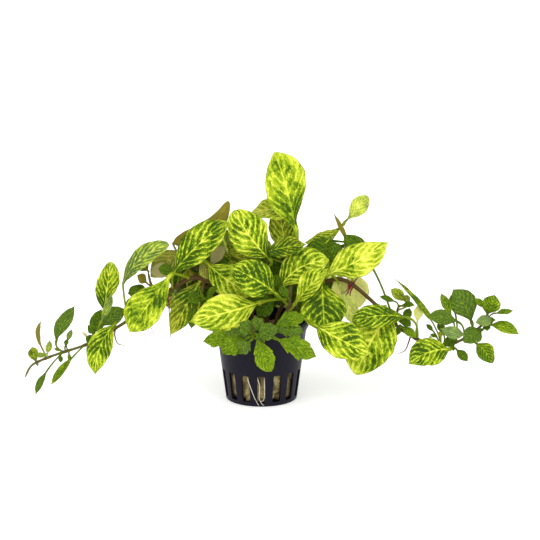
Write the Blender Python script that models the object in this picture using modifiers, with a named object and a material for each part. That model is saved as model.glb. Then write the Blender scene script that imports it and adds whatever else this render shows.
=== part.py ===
"""A potted aquarium plant: a black net pot, its stone wool plug, and leafy stems that trail to both sides.

The frame is the pot's own: the origin lies on the floor under the middle of the pot, +Z up, -Y to the front.
Lengths are in millimetres until they go into Blender, which works in metres.
"""

import math

import bmesh
import bpy
from mathutils import Matrix, Vector

MM = 0.001

# Pot
POT_HEIGHT = 45.0
RIM_RADIUS = 27.0
BASE_RADIUS = 19.7
WALL = 1.3
FLOOR = 1.6
POT_STEPS = 30
SLOT_COUNT = 15
SLOT_WIDTH = 4.5
SLOT_LOW = 2.3
SLOT_HIGH = 17.6
DRAIN_COUNT = 6
DRAIN_RADIUS = 2.2
DRAIN_RING = 10.5

# Stone wool plug
PLUG_TOP = 38.0
PLUG_GAP = 0.6
PLUG_LUMP = 1.1
PLUG_SIDES = 24
PLUG_ROWS = 5
SEAT_GAP = 0.3
HOLE_GAP = 0.7
HOLE_DEPTH = 16.0

# Leaves, stems and roots
BLADE = 0.65
BIG_HALF, SMALL_HALF = 5.0, 2.6
BIG_GRID, MIDDLE_GRID, SMALL_GRID = (2, 6, 2), (2, 4, 2), (1, 3, 1)
STEM_STEP = 6.0
STEM_ROUND = 1
ROOT_STEP = 3.0
ROOT_ROUND = 0
ROOT_RADII = (0.45, 0.3)

# Every leaf and stem is set out on an upright board through the pot's axis, as an eye in front of it sees
# them: across, up and depth. Depth runs back from the board, and the point slides along its sight line to it.
EYE = Vector((4.7, -1166.8, 351.6))
FRONT = Vector((0.0, -0.80, 0.60))


def seat(across, up, depth):
    """The place, at this depth, of what the eye sees at this spot of the board."""
    spot = Vector((across, 0.0, up))
    reach = (depth - EYE.y) / (0.0 - EYE.y)
    return EYE + (spot - EYE) * reach


class Leaf:
    """One leaf. base and tip are board triples of the blade's ends, and half is half its width. bow lifts the
    middle of the blade off the straight line towards its face, and sweep pushes it sideways. roll turns the
    face about that line from facing the front, in degrees. fold is how far the halves rise from the midrib,
    for each unit of width, and wave how far the margins swing. A higher broad puts the widest place nearer
    the tip. foot is a board triple near the joint with the stem."""

    def __init__(
        self, base, tip, half, bow=2.0, sweep=0.0, roll=0.0, fold=0.16, foot=None, wave=0.0, broad=1.2
    ):
        self.base = seat(*base)
        self.tip = seat(*tip)
        self.half = half
        self.bow = bow
        self.sweep = sweep
        self.roll = roll
        self.fold = fold
        self.foot = seat(*foot) if foot else None
        self.wave = wave
        self.broad = broad


# White roots that grow out of the plug through the front slots and hang down the pot, as points in its frame.
POT_ROOTS = [
    [(-7.6, -14.5, 13), (-7.8, -20.6, 12), (-6.6, -21.9, 8), (-4.6, -21.8, 3.6), (-2.6, -21.6, 0.9)],
    [(-1.5, -15.5, 13), (-1.5, -20.8, 12), (-1.1, -22.0, 8), (-0.4, -21.9, 3.6), (0.9, -21.6, 0.9)],
    [(1.5, -15.5, 10), (1.6, -20.8, 9), (1.7, -21.8, 5.6), (1.9, -21.6, 2.8), (2.9, -21.4, 2.0)],
]

# Each stem has the place of its hole in the plug, the board triples that it runs through above the plug, its
# radius at the foot and at the end, its leaves, its aerial roots, and its side shoots, which have no hole.
FRONT_STEM = dict(
    hole=(13.0, -6.0),
    line=[(14.5, 50, -7), (15.5, 59, -5), (16.5, 68, 0), (17.5, 76, 4)],
    radii=(1.3, 0.9),
    leaves=[
        Leaf((8, 58.5, -12), (-18, 74, -17), 10.2, bow=3, sweep=0.5, foot=(14, 51, -7), roll=-8, broad=1.0),
        Leaf((18, 52, -14), (36.5, 72.8, -21), 7.4, bow=2, sweep=0.5, foot=(14, 48, -7), roll=-18, fold=0.32),
        Leaf((-1, 53.5, -13), (-41, 42.5, -21), 10.8, bow=4, sweep=-1.5, foot=(15, 55, -7), roll=-8, broad=1.0),
        Leaf((11.5, 62, -1), (38.3, 75.3, -8), 11.4, bow=3, sweep=-2.6, foot=(15.3, 58, -5), roll=6, broad=1.0),
        Leaf((18.6, 97, 4), (8, 137.4, 0), 12.2, bow=-2, sweep=1.2, foot=(17.4, 75, 3), fold=0.12),
        Leaf((3, 81.5, 2), (24.5, 86, -2), 6.2, bow=2, sweep=0.3, foot=(17, 75, 3), roll=-15, broad=1.0),
        Leaf((17, 103.5, 10), (-7.5, 100.8, 13), 6.8, bow=3, sweep=1.2, foot=(17.4, 74, 4), roll=25),
        Leaf((14, 80, 12), (10, 104, 15), 6.6, bow=1, foot=(17, 72, 3)),
        Leaf((18, 60, -10), (9.5, 68, -10), 3.6, bow=1, foot=(15.5, 58, -5)),
    ],
)
MIDDLE_STEM = dict(
    hole=(1.0, 3.0),
    line=[(1, 50, 3), (2, 62, 4), (3, 72, 5), (3, 78, 5)],
    radii=(1.3, 0.9),
    leaves=[
        Leaf((1.5, 78.5, 0), (-13, 105.5, -4), 13.0, bow=2, sweep=-3.0, foot=(3, 74, 5), broad=1.0),
        Leaf((7.5, 55.5, 0), (-2.5, 45.5, -5), 4.8, bow=1.0, foot=(1.5, 60, 3)),
        Leaf((4, 65, 11), (18, 79, 13), 7.6, bow=1, foot=(2, 62, 4)),
        Leaf((2, 76, 18), (4, 96, 34), 9.5, bow=4, foot=(3, 72, 6), roll=170),
    ],
)
BACK_STEM = dict(
    hole=(-5.0, 12.0),
    line=[(-6, 52, 13), (-8, 60, 15), (-11, 68, 18), (-13, 74, 20)],
    radii=(1.2, 0.8),
    leaves=[
        Leaf((-16, 57, 28), (-35, 55, 48), 9.0, bow=4, foot=(-8, 58, 15), roll=165),
        Leaf((-10, 58, 30), (-16, 46, 58), 9.0, bow=6, foot=(-7, 57, 15), roll=180),
        Leaf((-22, 72, 26), (-37, 88, 40), 9.0, bow=3, foot=(-11, 68, 18), roll=150),
        Leaf((-13, 76, 32), (-8, 88, 50), 8.0, bow=3, foot=(-13, 73, 20), roll=170),
        Leaf((-17, 83, 10), (-29, 77.8, 3), 4.2, bow=1, foot=(-13, 74, 20), broad=1.0),
        Leaf((-17, 76, 24), (-24, 96, 26), 7.0, bow=2, foot=(-13, 74, 20), roll=140),
    ],
)
REAR_STEM = dict(
    hole=(3.0, 17.0),
    line=[(5, 50, 20), (10, 59, 26), (15, 67, 31), (18, 73, 34)],
    radii=(1.2, 0.8),
    leaves=[
        Leaf((18, 58, 38), (37, 52, 54), 9.0, bow=4, foot=(10, 58, 26), roll=190),
        Leaf((7, 56, 38), (8, 36, 58), 9.0, bow=4, foot=(8, 56, 24), roll=180),
        Leaf((26, 72, 42), (42, 76, 56), 8.5, bow=3, foot=(16, 69, 32), roll=195),
        Leaf((14, 76, 44), (8, 83, 62), 8.0, bow=3, foot=(17, 72, 34), roll=180),
        Leaf((20, 78, 36), (26, 84, 46), 5.0, bow=2, foot=(18, 73, 34), roll=180),
        Leaf((6, 63, 24), (14, 53, 24), 6.6, bow=1, foot=(7, 55, 23)),
    ],
)
RIGHT_STEM = dict(
    hole=(16.0, 1.0),
    line=[(17.5, 48, -1), (20, 56, 0), (25, 64, 2), (31, 70, 3), (35, 73, 3)],
    radii=(1.3, 0.9),
    leaves=[
        Leaf((29, 41, -17), (60.5, 24.3, -25), 10.6, bow=3, sweep=2.0, foot=(17.8, 47, -1), roll=-6, broad=1.0),
        Leaf((33, 67, -3), (34.5, 36, -12), 12.4, bow=2, foot=(30, 69, 3)),
        Leaf((38, 69, -7), (69, 86.5, -13), 8.8, bow=2, sweep=1.0, foot=(34.5, 72.5, 3), roll=4),
        Leaf((45, 60, 2), (49.5, 43.5, -2), 3.6, bow=1, foot=(33, 71, 3)),
    ],
)
UPPER_STEM = dict(
    hole=(8.0, 11.0),
    line=[(12, 53, 13), (19, 64, 15), (29, 77, 16), (38, 89, 16), (44, 97.5, 16)],
    radii=(1.2, 0.7),
    leaves=[
        Leaf((45.5, 98.5, 16), (57.5, 112.6, 15), 4.4, bow=0.5, sweep=0.8, foot=(43.5, 97, 16), broad=1.7),
        Leaf((45, 97.5, 15), (23.5, 87, 17), 4.8, bow=1, sweep=-0.8, foot=(43, 95.5, 16), roll=25, broad=1.2),
        Leaf((44, 87.5, 9), (25, 83, 8), 6.4, bow=1, foot=(37.5, 88.5, 16), roll=-15),
        Leaf((51, 84, 17), (39.5, 102.8, 13), 3.6, bow=0.5, sweep=1.0, foot=(36, 86, 16), roll=70),
        Leaf((36, 72, 26), (44, 66, 46), 9.0, bow=4, foot=(26, 73, 16), roll=180),
        Leaf((24, 74, 24), (36, 88, 36), 7.5, bow=3, foot=(27, 74, 16), roll=160),
    ],
)
LEFT_RUNNER = dict(
    hole=(-9.0, -1.0),
    line=[
        (-12, 51, -2), (-20, 60.5, -3), (-32, 67, -4), (-38, 67.5, -4), (-44, 64.5, -4), (-50, 60.5, -4),
        (-62, 51, -3), (-76, 42.5, -2), (-88, 34.5, -2), (-97, 29.5, -2), (-112, 24.5, -3), (-121, 21, -4),
        (-127, 17.5, -5), (-130.5, 11, -5),
    ],
    radii=(1.35, 0.45),
    leaves=[
        Leaf((-48.5, 71, -11), (-17.2, 98.5, -13), 11.4, bow=3, sweep=-1, foot=(-48, 61, -4), roll=-6, broad=1),
        Leaf((-47, 87, 3), (-17.5, 110.2, 6), 4.8, bow=1, sweep=4.8, foot=(-41, 66, -4), roll=10, broad=1.0),
        Leaf((-49.5, 69.5, -14), (-72.3, 37, -20), 10.4, bow=3, sweep=-2.0, foot=(-37.5, 66.5, -4), roll=4),
        Leaf((-35, 65, -4), (-51, 37, -11), 8.2, bow=2, sweep=-0.2, foot=(-36, 67, -4), broad=1.0),
        Leaf((-30.5, 75.5, -3), (-4, 58, -5), 8.4, bow=2, sweep=3.0, foot=(-33, 68, -4), broad=1.0),
        Leaf((-75, 63, 0), (-50, 85, -8), 6.4, bow=2, sweep=-4.6, foot=(-74, 43.5, -2), roll=-10, broad=1.0),
        Leaf((-41, 83.5, 6), (-61, 67.5, 4), 7.4, bow=1, sweep=1.2, foot=(-44, 64, -4)),
        Leaf((-48, 70.5, -6), (-55.5, 73, -6), 3.4, bow=0.5, foot=(-47, 62.5, -4)),
        Leaf((-34, 70.5, 3), (-47, 72, 9), 5.4, bow=1, foot=(-35, 67, -4), roll=160),
        Leaf((-41, 60, 4), (-56, 56, 22), 7.0, bow=3, foot=(-41, 66, -4), roll=170),
        Leaf((-87, 49.5, 4), (-82, 76.7, 12), 6.6, bow=1, sweep=-0.4, foot=(-89, 34.5, -2), broad=1.0),
        Leaf((-88.5, 41, -7), (-82.5, 57, -10), 2.6, bow=1, foot=(-90, 34, -2), roll=50),
        Leaf((-88, 39.5, 0), (-74.5, 50, 2), 5.2, bow=1, sweep=-0.5, foot=(-88, 35, -2)),
        Leaf((-93.5, 35, 2), (-88, 50, 7), 4.4, bow=1, sweep=-1.2, foot=(-92, 32.5, -2), broad=1.0),
        Leaf((-83, 42, -6), (-91, 13, -14), 7.3, bow=2, sweep=0.5, foot=(-84, 37.5, -2), broad=1.0),
        Leaf((-93, 36, -4), (-99.5, 30.5, -8), 3.6, bow=0.5, foot=(-91, 33, -2)),
        Leaf((-92, 36, -6), (-97, 41, -9), 3.0, bow=0.5, foot=(-91, 33, -2)),
        Leaf((-111.5, 31, -2), (-102.3, 50.7, 5), 3.8, bow=1, sweep=-2.0, foot=(-109, 25.5, -3)),
        Leaf((-119.5, 26, -4), (-120.5, 42.5, -3), 2.6, bow=1, sweep=-2.2, foot=(-119, 22, -4), roll=-55),
        Leaf((-124, 18.5, -2), (-127, 28.5, 2), 3.6, bow=1, foot=(-123, 20, -4), roll=-20, broad=1.5),
        Leaf((-118, 24, -7), (-116.3, 32.3, -10), 1.9, bow=0.5, foot=(-117, 22.5, -4), roll=30),
        Leaf((-119, 24.5, -7), (-123.5, 22.5, -12), 1.9, bow=0.5, foot=(-118, 22.5, -4)),
        Leaf((-118.3, 14.5, -6), (-125, 0.6, -12), 2.3, bow=1, foot=(-110, 25, -3), roll=20),
        Leaf((-106, 20, -6), (-116, 6.8, -10), 2.2, bow=1, foot=(-97, 29.5, -2), roll=10),
        Leaf((-107, 31, -1), (-104, 38.3, 2), 1.6, bow=0.5, foot=(-106, 27, -2)),
        Leaf((-110.5, 24, -5), (-110.5, 19.5, -7), 1.3, bow=0.5, foot=(-109, 25.5, -3)),
    ],
    shoots=[
        dict(
            line=[(-62, 51, -3), (-62, 58, -1), (-62.5, 64, 0), (-61.5, 71, 1)],
            radii=(0.8, 0.5),
            leaves=[
                Leaf((-65, 61, 1), (-73, 58, 2), 2.8, bow=0.5, foot=(-62, 59, -1)),
                Leaf((-63.5, 65, 0), (-67.5, 69, -3), 2.2, bow=0.5, foot=(-62.5, 62, 0)),
                Leaf((-64, 57, 1), (-69, 63.5, 6), 3.4, bow=0.5, foot=(-62, 56, -1)),
                Leaf((-67, 55.5, -2), (-74.5, 53, -6), 2.0, bow=0.5, foot=(-62, 54, -2)),
                Leaf((-61.5, 71, 2), (-66.5, 76, 5), 3.4, bow=0.5),
            ],
        ),
        dict(
            line=[(-32, 67, -4), (-32, 62, -7), (-33, 57.5, -10)],
            radii=(0.8, 0.5),
            leaves=[
                Leaf((-34, 57, -11), (-40.3, 54, -16), 3.6, bow=0.5, foot=(-33, 58.5, -10), broad=1.0),
                Leaf((-30.5, 56, -11), (-24, 63.3, -14), 2.0, bow=0.5, foot=(-32.5, 58.5, -9)),
                Leaf((-35, 54, -11), (-40, 46, -13), 2.6, bow=0.5, foot=(-33, 57.5, -10)),
                Leaf((-30.5, 55.5, -12), (-26, 56, -16), 2.4, bow=0.5, foot=(-33, 57.5, -10)),
            ],
        ),
    ],
    roots=[
        [(-50, 60.5, -4), (-51.5, 58, -7), (-50, 56.8, -8), (-48.5, 55.6, -8)],
        [(-51, 59.8, -4), (-51.7, 57, -5), (-50.5, 52.5, -6), (-50.6, 47, -6)],
        [(-80, 40, -2), (-80.5, 35, -4), (-79, 30.5, -5), (-75.5, 29.3, -6)],
    ],
)
RIGHT_RUNNER = dict(
    hole=(11.0, 3.5),
    line=[
        (18, 53, 6), (28, 62, 7), (38, 66.3, 6), (44, 66.5, 5), (50, 63.5, 4), (61, 54, 3), (72, 42.5, 2),
        (82, 35, 2), (90, 31.3, 1), (100, 29.5, 0), (108, 31.5, 0), (115, 35.5, 1), (120, 40, 2), (125, 45, 2),
    ],
    radii=(1.5, 0.6),
    leaves=[
        Leaf((50, 68.5, 12), (52.5, 48.8, 15), 9.4, bow=2, foot=(50, 63.5, 4), broad=1.0),
        Leaf((70.5, 41.5, -4), (50.8, 12.3, -12), 12.2, bow=3, sweep=-1.4, foot=(73, 41.5, 2), broad=1.05),
        Leaf((79, 45, -8), (50.3, 43.3, -15), 6.4, bow=3, sweep=2.5, foot=(86, 33, 2), roll=-20),
        Leaf((60, 69, 7), (44.5, 92, 10), 6.5, bow=1, foot=(71, 43.5, 2), broad=1.0),
        Leaf((103, 27, -5), (82, 18.6, -10), 7.8, bow=2, sweep=0.8, foot=(103, 30, 0), broad=1.0),
        Leaf((92, 46, 4), (73.5, 66.8, 10), 3.0, bow=1, sweep=1.5, foot=(99, 29.6, 0), roll=40),
        Leaf((108, 42.5, -2), (91, 46, -7), 4.4, bow=1.5, sweep=0.5, foot=(111, 33, 0), roll=-10),
        Leaf((115.5, 42, 4), (105, 60.5, 9), 7.0, bow=1, sweep=2.0, foot=(115, 35.5, 1)),
        Leaf((104.5, 45, 1), (98, 59, 5), 2.6, bow=0.5, foot=(106, 31, 0)),
        Leaf((106.5, 46, 4), (103.5, 58, 10), 2.4, bow=0.5, foot=(107, 31.3, 0)),
        Leaf((127, 40, 1), (142.7, 36.2, -3), 3.3, bow=2, sweep=-2.0, foot=(121, 41, 2)),
        Leaf((127.5, 47, 2), (137.7, 48.3, 4), 1.8, bow=0.5, foot=(124, 44, 2), wave=0.4),
        Leaf((124, 46.5, 1), (128, 57.5, -2), 4.8, bow=0.5, sweep=0.5, foot=(124, 44.5, 2), wave=0.6, broad=1.5),
        Leaf((122, 50, 4), (117, 56, 7), 2.0, bow=1.0, foot=(124.5, 44.8, 2)),
        Leaf((121.5, 42, -2), (118.5, 44, -7), 2.0, bow=0.5, foot=(122, 42, 2)),
        Leaf((124, 42, -2), (128, 44, -6), 2.2, bow=0.5, foot=(123, 43, 2)),
        Leaf((123, 41, -3), (124, 37.5, -8), 2.2, bow=0.5, foot=(122, 42, 2)),
        Leaf((120.5, 38, -4), (111.5, 31, -10), 5.0, bow=1.5, foot=(118, 38.4, 2), broad=1.0),
        Leaf((118.5, 29.5, -3), (127.3, 20.5, -8), 4.2, bow=1, foot=(117, 37, 1), wave=0.6, broad=1.5),
        Leaf((111.5, 34.5, -8), (100.5, 37, -12), 3.4, bow=1, foot=(113, 34, 0), roll=-20),
        Leaf((105.5, 27, -2), (102, 34.5, 2), 3.8, bow=0.5, foot=(105, 30.5, 0)),
        Leaf((107, 26.5, -6), (113.5, 20.3, -10), 2.3, bow=0.5, foot=(104, 30.2, 0)),
        Leaf((98.5, 33.5, -1), (98, 37.5, 0), 1.6, bow=0.5, foot=(99, 29.8, 0)),
        Leaf((76.5, 40.5, -2), (85, 33.6, -8), 2.6, bow=0.5, foot=(77, 38.8, 2)),
        Leaf((86, 38, 4), (85, 51, 8), 2.3, bow=0.5, foot=(85, 33.6, 2), broad=1.7),
        Leaf((64, 52, 10), (66, 38, 26), 7.5, bow=3, foot=(64, 51.5, 3), roll=180),
        Leaf((93, 33, 8), (98, 26, 22), 6.0, bow=2, foot=(93, 30.7, 1), roll=180),
    ],
    shoots=[
        dict(
            line=[(72, 42.5, 2), (74, 47, 1), (75, 52, 1)],
            radii=(0.8, 0.5),
            leaves=[
                Leaf((75, 53, 1), (73, 61, 3), 3.5, bow=0.5, broad=1.5),
                Leaf((73.5, 54, -1), (64.5, 57, -5), 1.8, bow=0.5, foot=(75, 51, 1)),
                Leaf((77, 52, -1), (84, 52, -5), 1.8, bow=1.5, foot=(75, 51, 1)),
                Leaf((76.5, 53.5, 3), (81, 56.7, 6), 2.2, bow=0.5, foot=(75, 51.5, 1)),
                Leaf((79, 43.5, 3), (81, 49.5, 6), 1.9, bow=0.5, foot=(74, 45, 1)),
                Leaf((76.5, 44, -1), (81.5, 40.5, -5), 2.2, bow=0.5, foot=(73.5, 45, 1)),
                Leaf((77, 46, -1), (76.5, 41.5, -6), 1.8, bow=0.5, foot=(73.5, 45.5, 1)),
                Leaf((74.5, 40, -3), (74.5, 35, -6), 2.2, bow=0.5, foot=(73, 44, 1)),
            ],
        ),
    ],
    roots=[
        [(49, 64.2, 4), (47.5, 61.5, 1), (46.5, 59.5, 0), (44.8, 57.4, 0)],
        [(50.5, 63, 4), (48.8, 60, 2), (48.6, 57, 1), (50.2, 53.4, 1)],
        [(82, 35, 2), (81, 31.5, -1), (79, 26.5, -2), (75.2, 24.6, -3)],
    ],
)
PLANTLET = dict(
    hole=(-3.0, -15.0),
    line=[(-3.2, 44.5, -17), (-3.5, 44.5, -22), (-4, 40.5, -29), (-4.5, 35.5, -33)],
    radii=(1.1, 0.9),
    leaves=[
        Leaf((-14, 35.5, -31), (-32, 31.5, -31), 5.4, bow=1.5, wave=0.5, foot=(-4, 38, -31), broad=1.0),
        Leaf((-7, 33.5, -35), (-21.5, 22.8, -40), 6.4, bow=1.5, wave=0.7, foot=(-4.5, 35, -33), broad=1.35),
        Leaf((-5.5, 32.5, -37), (-13.3, 24, -41), 4.4, bow=1.0, wave=0.5, foot=(-4.5, 35, -33)),
        Leaf((-1, 31, -36), (5, 14, -36), 6.2, bow=1.5, wave=0.4, foot=(-4.5, 35, -33), broad=1.0),
        Leaf((7, 33.5, -35), (30, 21.2, -35), 6.4, bow=1.5, wave=0.6, foot=(-4.3, 35.5, -33), sweep=-0.5),
        Leaf((7, 36.5, -32), (23.5, 36.5, -30), 4.6, bow=1.0, wave=0.5, foot=(-4.2, 37, -32), sweep=-1.5),
        Leaf((6, 39.5, -30), (24.8, 45.5, -25), 4.4, bow=1.5, wave=0.6, foot=(-4.1, 38, -31), sweep=-0.5),
        Leaf((-2.5, 33.5, -37), (9.5, 39.5, -43), 5.2, bow=1.0, wave=0.4, foot=(-4.4, 36, -33), broad=1.0),
        Leaf((-6, 36.5, -35), (-12.5, 42, -39), 4.6, bow=1.0, wave=0.5, foot=(-4.2, 37, -32), broad=1.0),
        Leaf((-4, 38, -33), (1, 44.5, -34), 4.2, bow=1.0, wave=0.5, foot=(-4.1, 38, -31)),
        Leaf((-8, 36.5, -32), (-21.5, 38.5, -31), 4.2, bow=1.0, wave=0.5, foot=(-4.1, 38, -31)),
    ],
)
STEMS = {
    "stem_front": FRONT_STEM,
    "stem_middle": MIDDLE_STEM,
    "stem_back": BACK_STEM,
    "stem_rear": REAR_STEM,
    "stem_right": RIGHT_STEM,
    "stem_upper": UPPER_STEM,
    "runner_left": LEFT_RUNNER,
    "runner_right": RIGHT_RUNNER,
    "plantlet": PLANTLET,
}


def material(name, colour, roughness):
    """A plain Principled finish."""
    made = bpy.data.materials.new(name)
    made.use_nodes = True
    shader = made.node_tree.nodes["Principled BSDF"]
    shader.inputs["Base Color"].default_value = (*colour, 1.0)
    shader.inputs["Roughness"].default_value = roughness
    shader.inputs["Metallic"].default_value = 0.0
    return made


def collection(name):
    made = bpy.data.collections.new(name)
    bpy.context.scene.collection.children.link(made)
    return made


def add_object(name, mesh, where, finish=None):
    obj = bpy.data.objects.new(name, mesh)
    where.objects.link(obj)
    if finish:
        mesh.materials.append(finish)
    return obj


def applied(obj, name, where, finish):
    """A plain mesh object of what obj looks like with its modifiers, in obj's place. obj is removed."""
    bpy.context.view_layer.update()
    graph = bpy.context.evaluated_depsgraph_get()
    mesh = bpy.data.meshes.new_from_object(obj.evaluated_get(graph))
    mesh.transform(obj.matrix_world)
    bpy.data.objects.remove(obj)
    mesh.materials.clear()
    return add_object(name, mesh, where, finish)


def smooth_line(points, step):
    """Points every step or so along a Catmull-Rom curve through the given ones."""
    ends = [points[0] * 2 - points[1], *points, points[-1] * 2 - points[-2]]
    line = []
    for a, b, c, d in zip(ends, ends[1:], ends[2:], ends[3:]):
        count = max(1, round((c - b).length / step))
        for i in range(count):
            t = i / count
            line.append(
                b
                + 0.5 * (c - a) * t
                + (a - b * 2.5 + c * 2 - d * 0.5) * t**2
                + 0.5 * (b * 3 - a - c * 3 + d) * t**3
            )
    return [*line, points[-1]]


def nearest(line, spot):
    """The point of the line nearest to the spot."""
    found = []
    for a, b in zip(line, line[1:]):
        along = (spot - a).dot(b - a) / (b - a).length_squared
        found.append(a + (b - a) * min(1.0, max(0.0, along)))
    return min(found, key=lambda p: (p - spot).length)


def square_to(direction, along):
    """The direction, turned the least that sets it square to along."""
    return (direction - along * direction.dot(along)).normalized()


def leaf_rows(leaf, foot, blade_rows, petiole_rows):
    """Rows across a leaf from its foot to its tip: each has the middle point, the side and face directions,
    half the width, and how far along the blade it lies, which is below 0 on the petiole."""
    chord = (leaf.tip - leaf.base).normalized()
    face = Matrix.Rotation(math.radians(leaf.roll), 3, chord) @ square_to(FRONT, chord)
    side = chord.cross(face)
    middle = (leaf.base + leaf.tip) / 2 + 2 * (face * leaf.bow + side * leaf.sweep)
    knee = leaf.base - (middle - leaf.base).normalized() * (leaf.base - foot).length * 0.5
    rows = []
    for i in range(petiole_rows):
        t = i / petiole_rows
        point = foot * (1 - t) ** 2 + knee * 2 * t * (1 - t) + leaf.base * t**2
        along = ((knee - foot) * (1 - t) + (leaf.base - knee) * t).normalized()
        rows.append((point, along, petiole_half(leaf), t - 1))
    for i in range(blade_rows + 1):
        t = i / blade_rows
        point = leaf.base * (1 - t) ** 2 + middle * 2 * t * (1 - t) + leaf.tip * t**2
        along = ((middle - leaf.base) * (1 - t) + (leaf.tip - middle) * t).normalized()
        rows.append((point, along, max(petiole_half(leaf) * (1 - 0.5 * t), outline(leaf, t)), t))
    return [
        (point, along.cross(square_to(face, along)), square_to(face, along), half, t)
        for point, along, half, t in rows
    ]


def petiole_half(leaf):
    return 0.4 + 0.035 * leaf.half


def outline(leaf, t):
    """Half the blade's width, t of the way from its base to its tip."""
    return leaf.half * math.sin(math.pi * t**leaf.broad) ** (1.15 - 0.35 * t) if 0 < t < 1 else 0.0


def leaf_mesh(leaf, foot):
    """The blade and its petiole as one open strip."""
    across, blade_rows, petiole_rows = grid_of(leaf)
    rows = leaf_rows(leaf, foot, blade_rows, petiole_rows)
    work = bmesh.new()
    bmesh.ops.create_grid(work, x_segments=across, y_segments=len(rows) - 1, size=1.0)
    for vert in work.verts:
        point, side, face, half, t = rows[round((vert.co.y + 1) / 2 * (len(rows) - 1))]
        edge = vert.co.x
        lift = abs(edge) * (leaf.fold * half + leaf.wave * math.sin(11 * t + 3 * edge) * (t > 0))
        vert.co = (point + side * edge * half + face * lift) * MM
    bmesh.ops.triangulate(work, faces=work.faces, quad_method="FIXED")
    mesh = bpy.data.meshes.new("blade")
    work.to_mesh(mesh)
    work.free()
    return mesh


def grid_of(leaf):
    """How many strips a leaf of this size is split into: across, along the blade and along the petiole."""
    return BIG_GRID if leaf.half >= BIG_HALF else MIDDLE_GRID if leaf.half >= SMALL_HALF else SMALL_GRID


def solid_leaf(leaf, foot, where):
    obj = add_object("blade", leaf_mesh(leaf, foot), where)
    shell = obj.modifiers.new("thickness", "SOLIDIFY")
    shell.thickness = BLADE * MM
    shell.offset = 0.0
    return applied(obj, "blade", where, None)


def tube(line, radii, sides, where):
    """A solid along the line that thins from its foot to its end. sides is the curve's bevel resolution."""
    curve = bpy.data.curves.new("stem", "CURVE")
    curve.dimensions = "3D"
    curve.bevel_depth = MM
    curve.bevel_resolution = sides
    curve.use_fill_caps = True
    spline = curve.splines.new("POLY")
    spline.points.add(len(line) - 1)
    for i, (spot, point) in enumerate(zip(line, spline.points)):
        point.co = (*(spot * MM), 1.0)
        point.radius = radii[0] + (radii[1] - radii[0]) * i / (len(line) - 1)
    obj = bpy.data.objects.new("stem", curve)
    where.objects.link(obj)
    made = applied(obj, "stem", where, None)
    work = bmesh.new()
    work.from_mesh(made.data)
    bmesh.ops.remove_doubles(work, verts=work.verts, dist=0.00001)
    work.to_mesh(made.data)
    work.free()
    return made


def stem_line(stem):
    """The stem's centreline: straight up out of its hole in the plug, then through its board triples."""
    spots = [seat(*spot) for spot in stem["line"]]
    if "hole" in stem:
        x, y = stem["hole"]
        foot = PLUG_TOP - HOLE_DEPTH + 1.0
        spots = [Vector((x, y, foot)), Vector((x, y, PLUG_TOP + 1.0)), *spots]
    return smooth_line(spots, STEM_STEP)


def largest_body(mesh):
    """Keeps the mesh's largest body, without the loose scraps and sealed pockets that a join can leave."""
    work = bmesh.new()
    work.from_mesh(mesh)
    left, bodies = set(work.faces), []
    while left:
        body, todo = set(), [left.pop()]
        while todo:
            face = todo.pop()
            body.add(face)
            near = {f for edge in face.edges for f in edge.link_faces} & left
            left -= near
            todo += near
        bodies.append(body)
    keep = max(bodies, key=len)
    bmesh.ops.delete(work, geom=[f for f in work.faces if f not in keep], context="FACES")
    work.to_mesh(mesh)
    work.free()


def joined(body, name, parts, where, finish):
    """One solid of body and everything in the collection parts, which goes."""
    if body.name in parts.objects:
        parts.objects.unlink(body)
        where.objects.link(body)
    join = body.modifiers.new("join", "BOOLEAN")
    join.operation = "UNION"
    join.operand_type = "COLLECTION"
    join.collection = parts
    join.solver = "MANIFOLD"
    made = applied(body, name, where, finish)
    largest_body(made.data)
    for obj in list(parts.objects):
        bpy.data.objects.remove(obj)
    bpy.data.collections.remove(parts)
    return made


def leafy_stem(name, stem, where, finish):
    """One stem with its shoots, leaves and aerial roots, joined into one solid."""
    parts = collection(name + "_parts")
    tubes = []
    for shoot in [stem, *stem.get("shoots", [])]:
        line = stem_line(shoot)
        tubes.append(tube(line, shoot["radii"], STEM_ROUND, parts))
        for leaf in shoot["leaves"]:
            solid_leaf(leaf, nearest(line, leaf.foot or leaf.base), parts)
    for root in stem.get("roots", []):
        tube(smooth_line([seat(*spot) for spot in root], ROOT_STEP), ROOT_RADII, ROOT_ROUND, parts)
    return joined(tubes[0], name, parts, where, finish)


def inner_radius(height):
    """The inside of the pot's wall at this height."""
    return BASE_RADIUS - WALL + (height - FLOOR) * (RIM_RADIUS - 2.1 - BASE_RADIUS) / (POT_HEIGHT - 6.0)


def turned(name, profile, steps, where, finish):
    """A solid of revolution: the profile runs from the axis, up the inside and down the outside."""
    work = bmesh.new()
    verts = [work.verts.new((r * MM, 0.0, z * MM)) for r, z in profile]
    for a, b in zip(verts, verts[1:]):
        work.edges.new((a, b))
    mesh = bpy.data.meshes.new(name)
    work.to_mesh(mesh)
    work.free()
    obj = add_object(name, mesh, where, finish)
    screw = obj.modifiers.new("turn", "SCREW")
    screw.steps = screw.render_steps = steps
    screw.use_merge_vertices = True
    screw.merge_threshold = 0.00001
    return obj


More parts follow.
